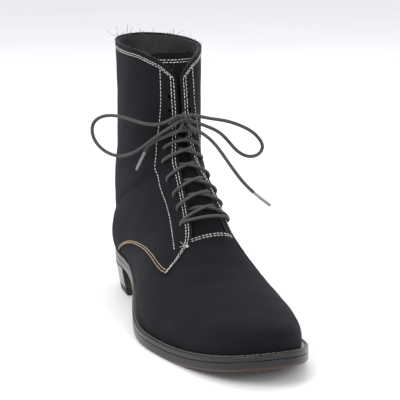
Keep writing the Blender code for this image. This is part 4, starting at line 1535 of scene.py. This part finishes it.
def make_welt():
    def inner(t):
        return ledge(t) + WALL + WELT_GRIP

    def low(t):
        return outsole_top(t) + SEAM_GAP

    rings, shares = [], []
    for inset, share in rounded_side(0.10, 0.22, 0.0004, 0.0007, 3):
        rings.append(ring(lambda t, i=inset: i + 0 * t, lambda t, s=share: low(t) + s * WELT_THICKNESS))
        shares.append(share)
    for share in (1.0, 0.0):
        rings.append(ring(inner, lambda t, s=share: low(t) + s * WELT_THICKNESS))
        shares.append(share)
    welt = edge_leather("welt_edge", (0.010, 0.0085, 0.008), (0.035, 0.020, 0.014), (0.0, 0.10))
    dress(loft("welt_strip", rings, shares, [welt], hollow=True), "sole_leather", "welt")
    t = stations(WELT_STITCH_START, 1.0, 600)
    tubes = []
    for side in (1, -1):
        x, y = inset_edge(t, side, WELT_STITCH_INSET * ledge(t))
        line = np.stack([x, y, welt_top(t) + WELT_STITCH_LIFT], -1)
        up = np.tile((0.0, 0.0, 1.0), (len(line), 1))
        tubes += stitch_tubes(line, up, *WELT_STITCHES)
    dress(join_tubes("welt_stitches", tubes, WELT_THREAD), "sole_leather", "welt")


def make_insole():
    def edge(t):
        return ledge(t) + WALL + WELT_GRIP + INSOLE_CLEARANCE

    rings, shares = [], []
    for inset, share in rounded_side(0.05, 0.20, 0.0, 0.0008, 3):
        rings.append(ring(
            lambda t, i=inset: edge(t) + i,
            lambda t, s=share: outsole_top(t) + SEAM_GAP + s * INSOLE_THICKNESS,
        ))
        shares.append(share)
    skin_side = plain_leather("insole_leather", (0.150, 0.108, 0.078), (0.230, 0.175, 0.130), 0.55)
    dress(loft("insole_board", rings, shares, [skin_side]), "insole_leather", "insole")


def make_heel():
    stack_top = HEEL_HEIGHT - SEAM_GAP
    stack_low = LIFT_THICKNESS + SEAM_GAP

    def taper(z):
        return HEEL_TAPER * (1 - z / HEEL_HEIGHT)

    rings, shares = [], []
    bounds = np.linspace(stack_low, stack_top, HEEL_LAYERS + 1)
    for low, high in zip(bounds[:-1], bounds[1:]):
        profile = (
            (low, LAYER_GROOVE),
            (low + LAYER_ROUND, 0.0),
            (high - LAYER_ROUND, 0.0),
            (high, LAYER_GROOVE),
        )
        for z, groove in profile:
            rings.append(heel_ring(taper(z) + groove, z))
            shares.append((z - stack_low) / (stack_top - stack_low))
    dress(loft("heel_layers", rings, shares, [stacked_leather()]), "sole_leather", "heel_stack")
    rings, shares = [], []
    for z, inset in LIFT_PROFILE:
        rings.append(heel_ring(taper(z) + inset, z))
        shares.append(z / LIFT_THICKNESS)
    dress(loft("heel_lift_rubber", rings, shares, [rubber_material()]), "rubber", "heel_lift")


# Camera, floor and light
CAMERA_PLACE = (0.2838, 0.9804, 0.2931)
CAMERA_FORWARD = (-0.3634, -0.9096, -0.2011)
CAMERA_ROLL = 0.83
FOCAL_LENGTH = 96.57
SENSOR = 36
CLOSER = 1.15
PHOTO_SIZE = 400
BOOT_CENTRE = (140, 212)
FLOOR_HALF = 20
FLOOR_DROP = 0.0002
WORLD_COLOUR = (0.97, 0.975, 1.0, 1)
LIGHT_TARGET = (0.0, 0.10, 0.08)
LIGHTS = (
    # name, place, size, power
    ("key_light", (1.5, 0.6, 1.5), (1.4, 1.0), 26),
    ("front_light", (-0.5, 1.9, 1.2), (1.2, 0.8), 16),
    ("top_light", (-0.2, -0.6, 2.0), (1.6, 1.6), 18),
)


def make_camera():
    """The photo's view of the front boot, turned to bring that boot to the middle of the frame."""
    forward = Vector(CAMERA_FORWARD).normalized()
    right = forward.cross(Vector((0, 0, 1))).normalized()
    up = right.cross(forward)
    pixels = FOCAL_LENGTH / SENSOR * PHOTO_SIZE
    aside, below = BOOT_CENTRE[0] - PHOTO_SIZE / 2, BOOT_CENTRE[1] - PHOTO_SIZE / 2
    forward = (forward * pixels + right * aside - up * below).normalized()
    right = forward.cross(Vector((0, 0, 1))).normalized()
    up = right.cross(forward)
    roll = math.radians(CAMERA_ROLL)
    tilted_right = right * math.cos(roll) - up * math.sin(roll)
    tilted_up = up * math.cos(roll) + right * math.sin(roll)
    camera = bpy.data.cameras.new("camera")
    camera.lens = FOCAL_LENGTH * CLOSER
    camera.sensor_width = SENSOR
    camera.clip_start = 0.05
    camera.clip_end = 60
    made = bpy.data.objects.new("camera", camera)
    turn = Matrix((tilted_right, tilted_up, -forward)).transposed().to_4x4()
    made.matrix_world = Matrix.Translation(CAMERA_PLACE) @ turn
    bpy.context.scene.collection.objects.link(made)
    bpy.context.scene.camera = made


def make_floor():
    mesh = bpy.data.meshes.new("floor")
    half = FLOOR_HALF
    corners = [(-half, -half, 0), (half, -half, 0), (half, half, 0), (-half, half, 0)]
    mesh.from_pydata(corners, [], [(0, 1, 2, 3)])
    make = Shader("pale_floor", Roughness=0.6)
    tone = make.noise(make.place("Object"), 3.0)
    make.link("Base Color", make.ramp(tone, ((0.3, (0.80, 0.80, 0.81)), (0.7, (0.83, 0.83, 0.84)))))
    mesh.materials.append(make.material)
    floor = bpy.data.objects.new("floor", mesh)
    floor.location.z = -FLOOR_DROP
    bpy.context.scene.collection.objects.link(floor)


def make_light(name, place, size, power):
    lamp = bpy.data.lights.new(name, "AREA")
    lamp.shape = "RECTANGLE"
    lamp.size, lamp.size_y = size
    lamp.energy = power
    made = bpy.data.objects.new(name, lamp)
    made.location = place
    made.rotation_mode = "QUATERNION"
    made.rotation_quaternion = (Vector(place) - Vector(LIGHT_TARGET)).to_track_quat("Z", "Y")
    bpy.context.scene.collection.objects.link(made)


def make_studio():
    world = bpy.data.worlds.new("studio")
    world.use_nodes = True
    back = world.node_tree.nodes["Background"]
    back.inputs["Color"].default_value = WORLD_COLOUR
    back.inputs["Strength"].default_value = 1.0
    bpy.context.scene.world = world
    for name, place, size, power in LIGHTS:
        make_light(name, place, size, power)
    bpy.context.scene.view_settings.view_transform = "Standard"


make_camera()
make_floor()
make_studio()

wall = make_wall()
lining = make_lining()
quarters = [make_quarter(side) for side in (1, -1)]
punch([wall, lining, *quarters])
for piece in (wall, lining, *quarters):
    piece.data.set_sharp_from_angle(angle=0.9)
    dress(piece, "cloth", "upper")
tongue, tongue_points = make_tongue()
dress(tongue, "cloth", "tongue")
make_stitching(tongue_points)
make_tacks()
make_fray()
make_nap()
make_bow()
make_crossings()
make_knot()
make_outsole()
make_welt()
make_insole()
make_heel()
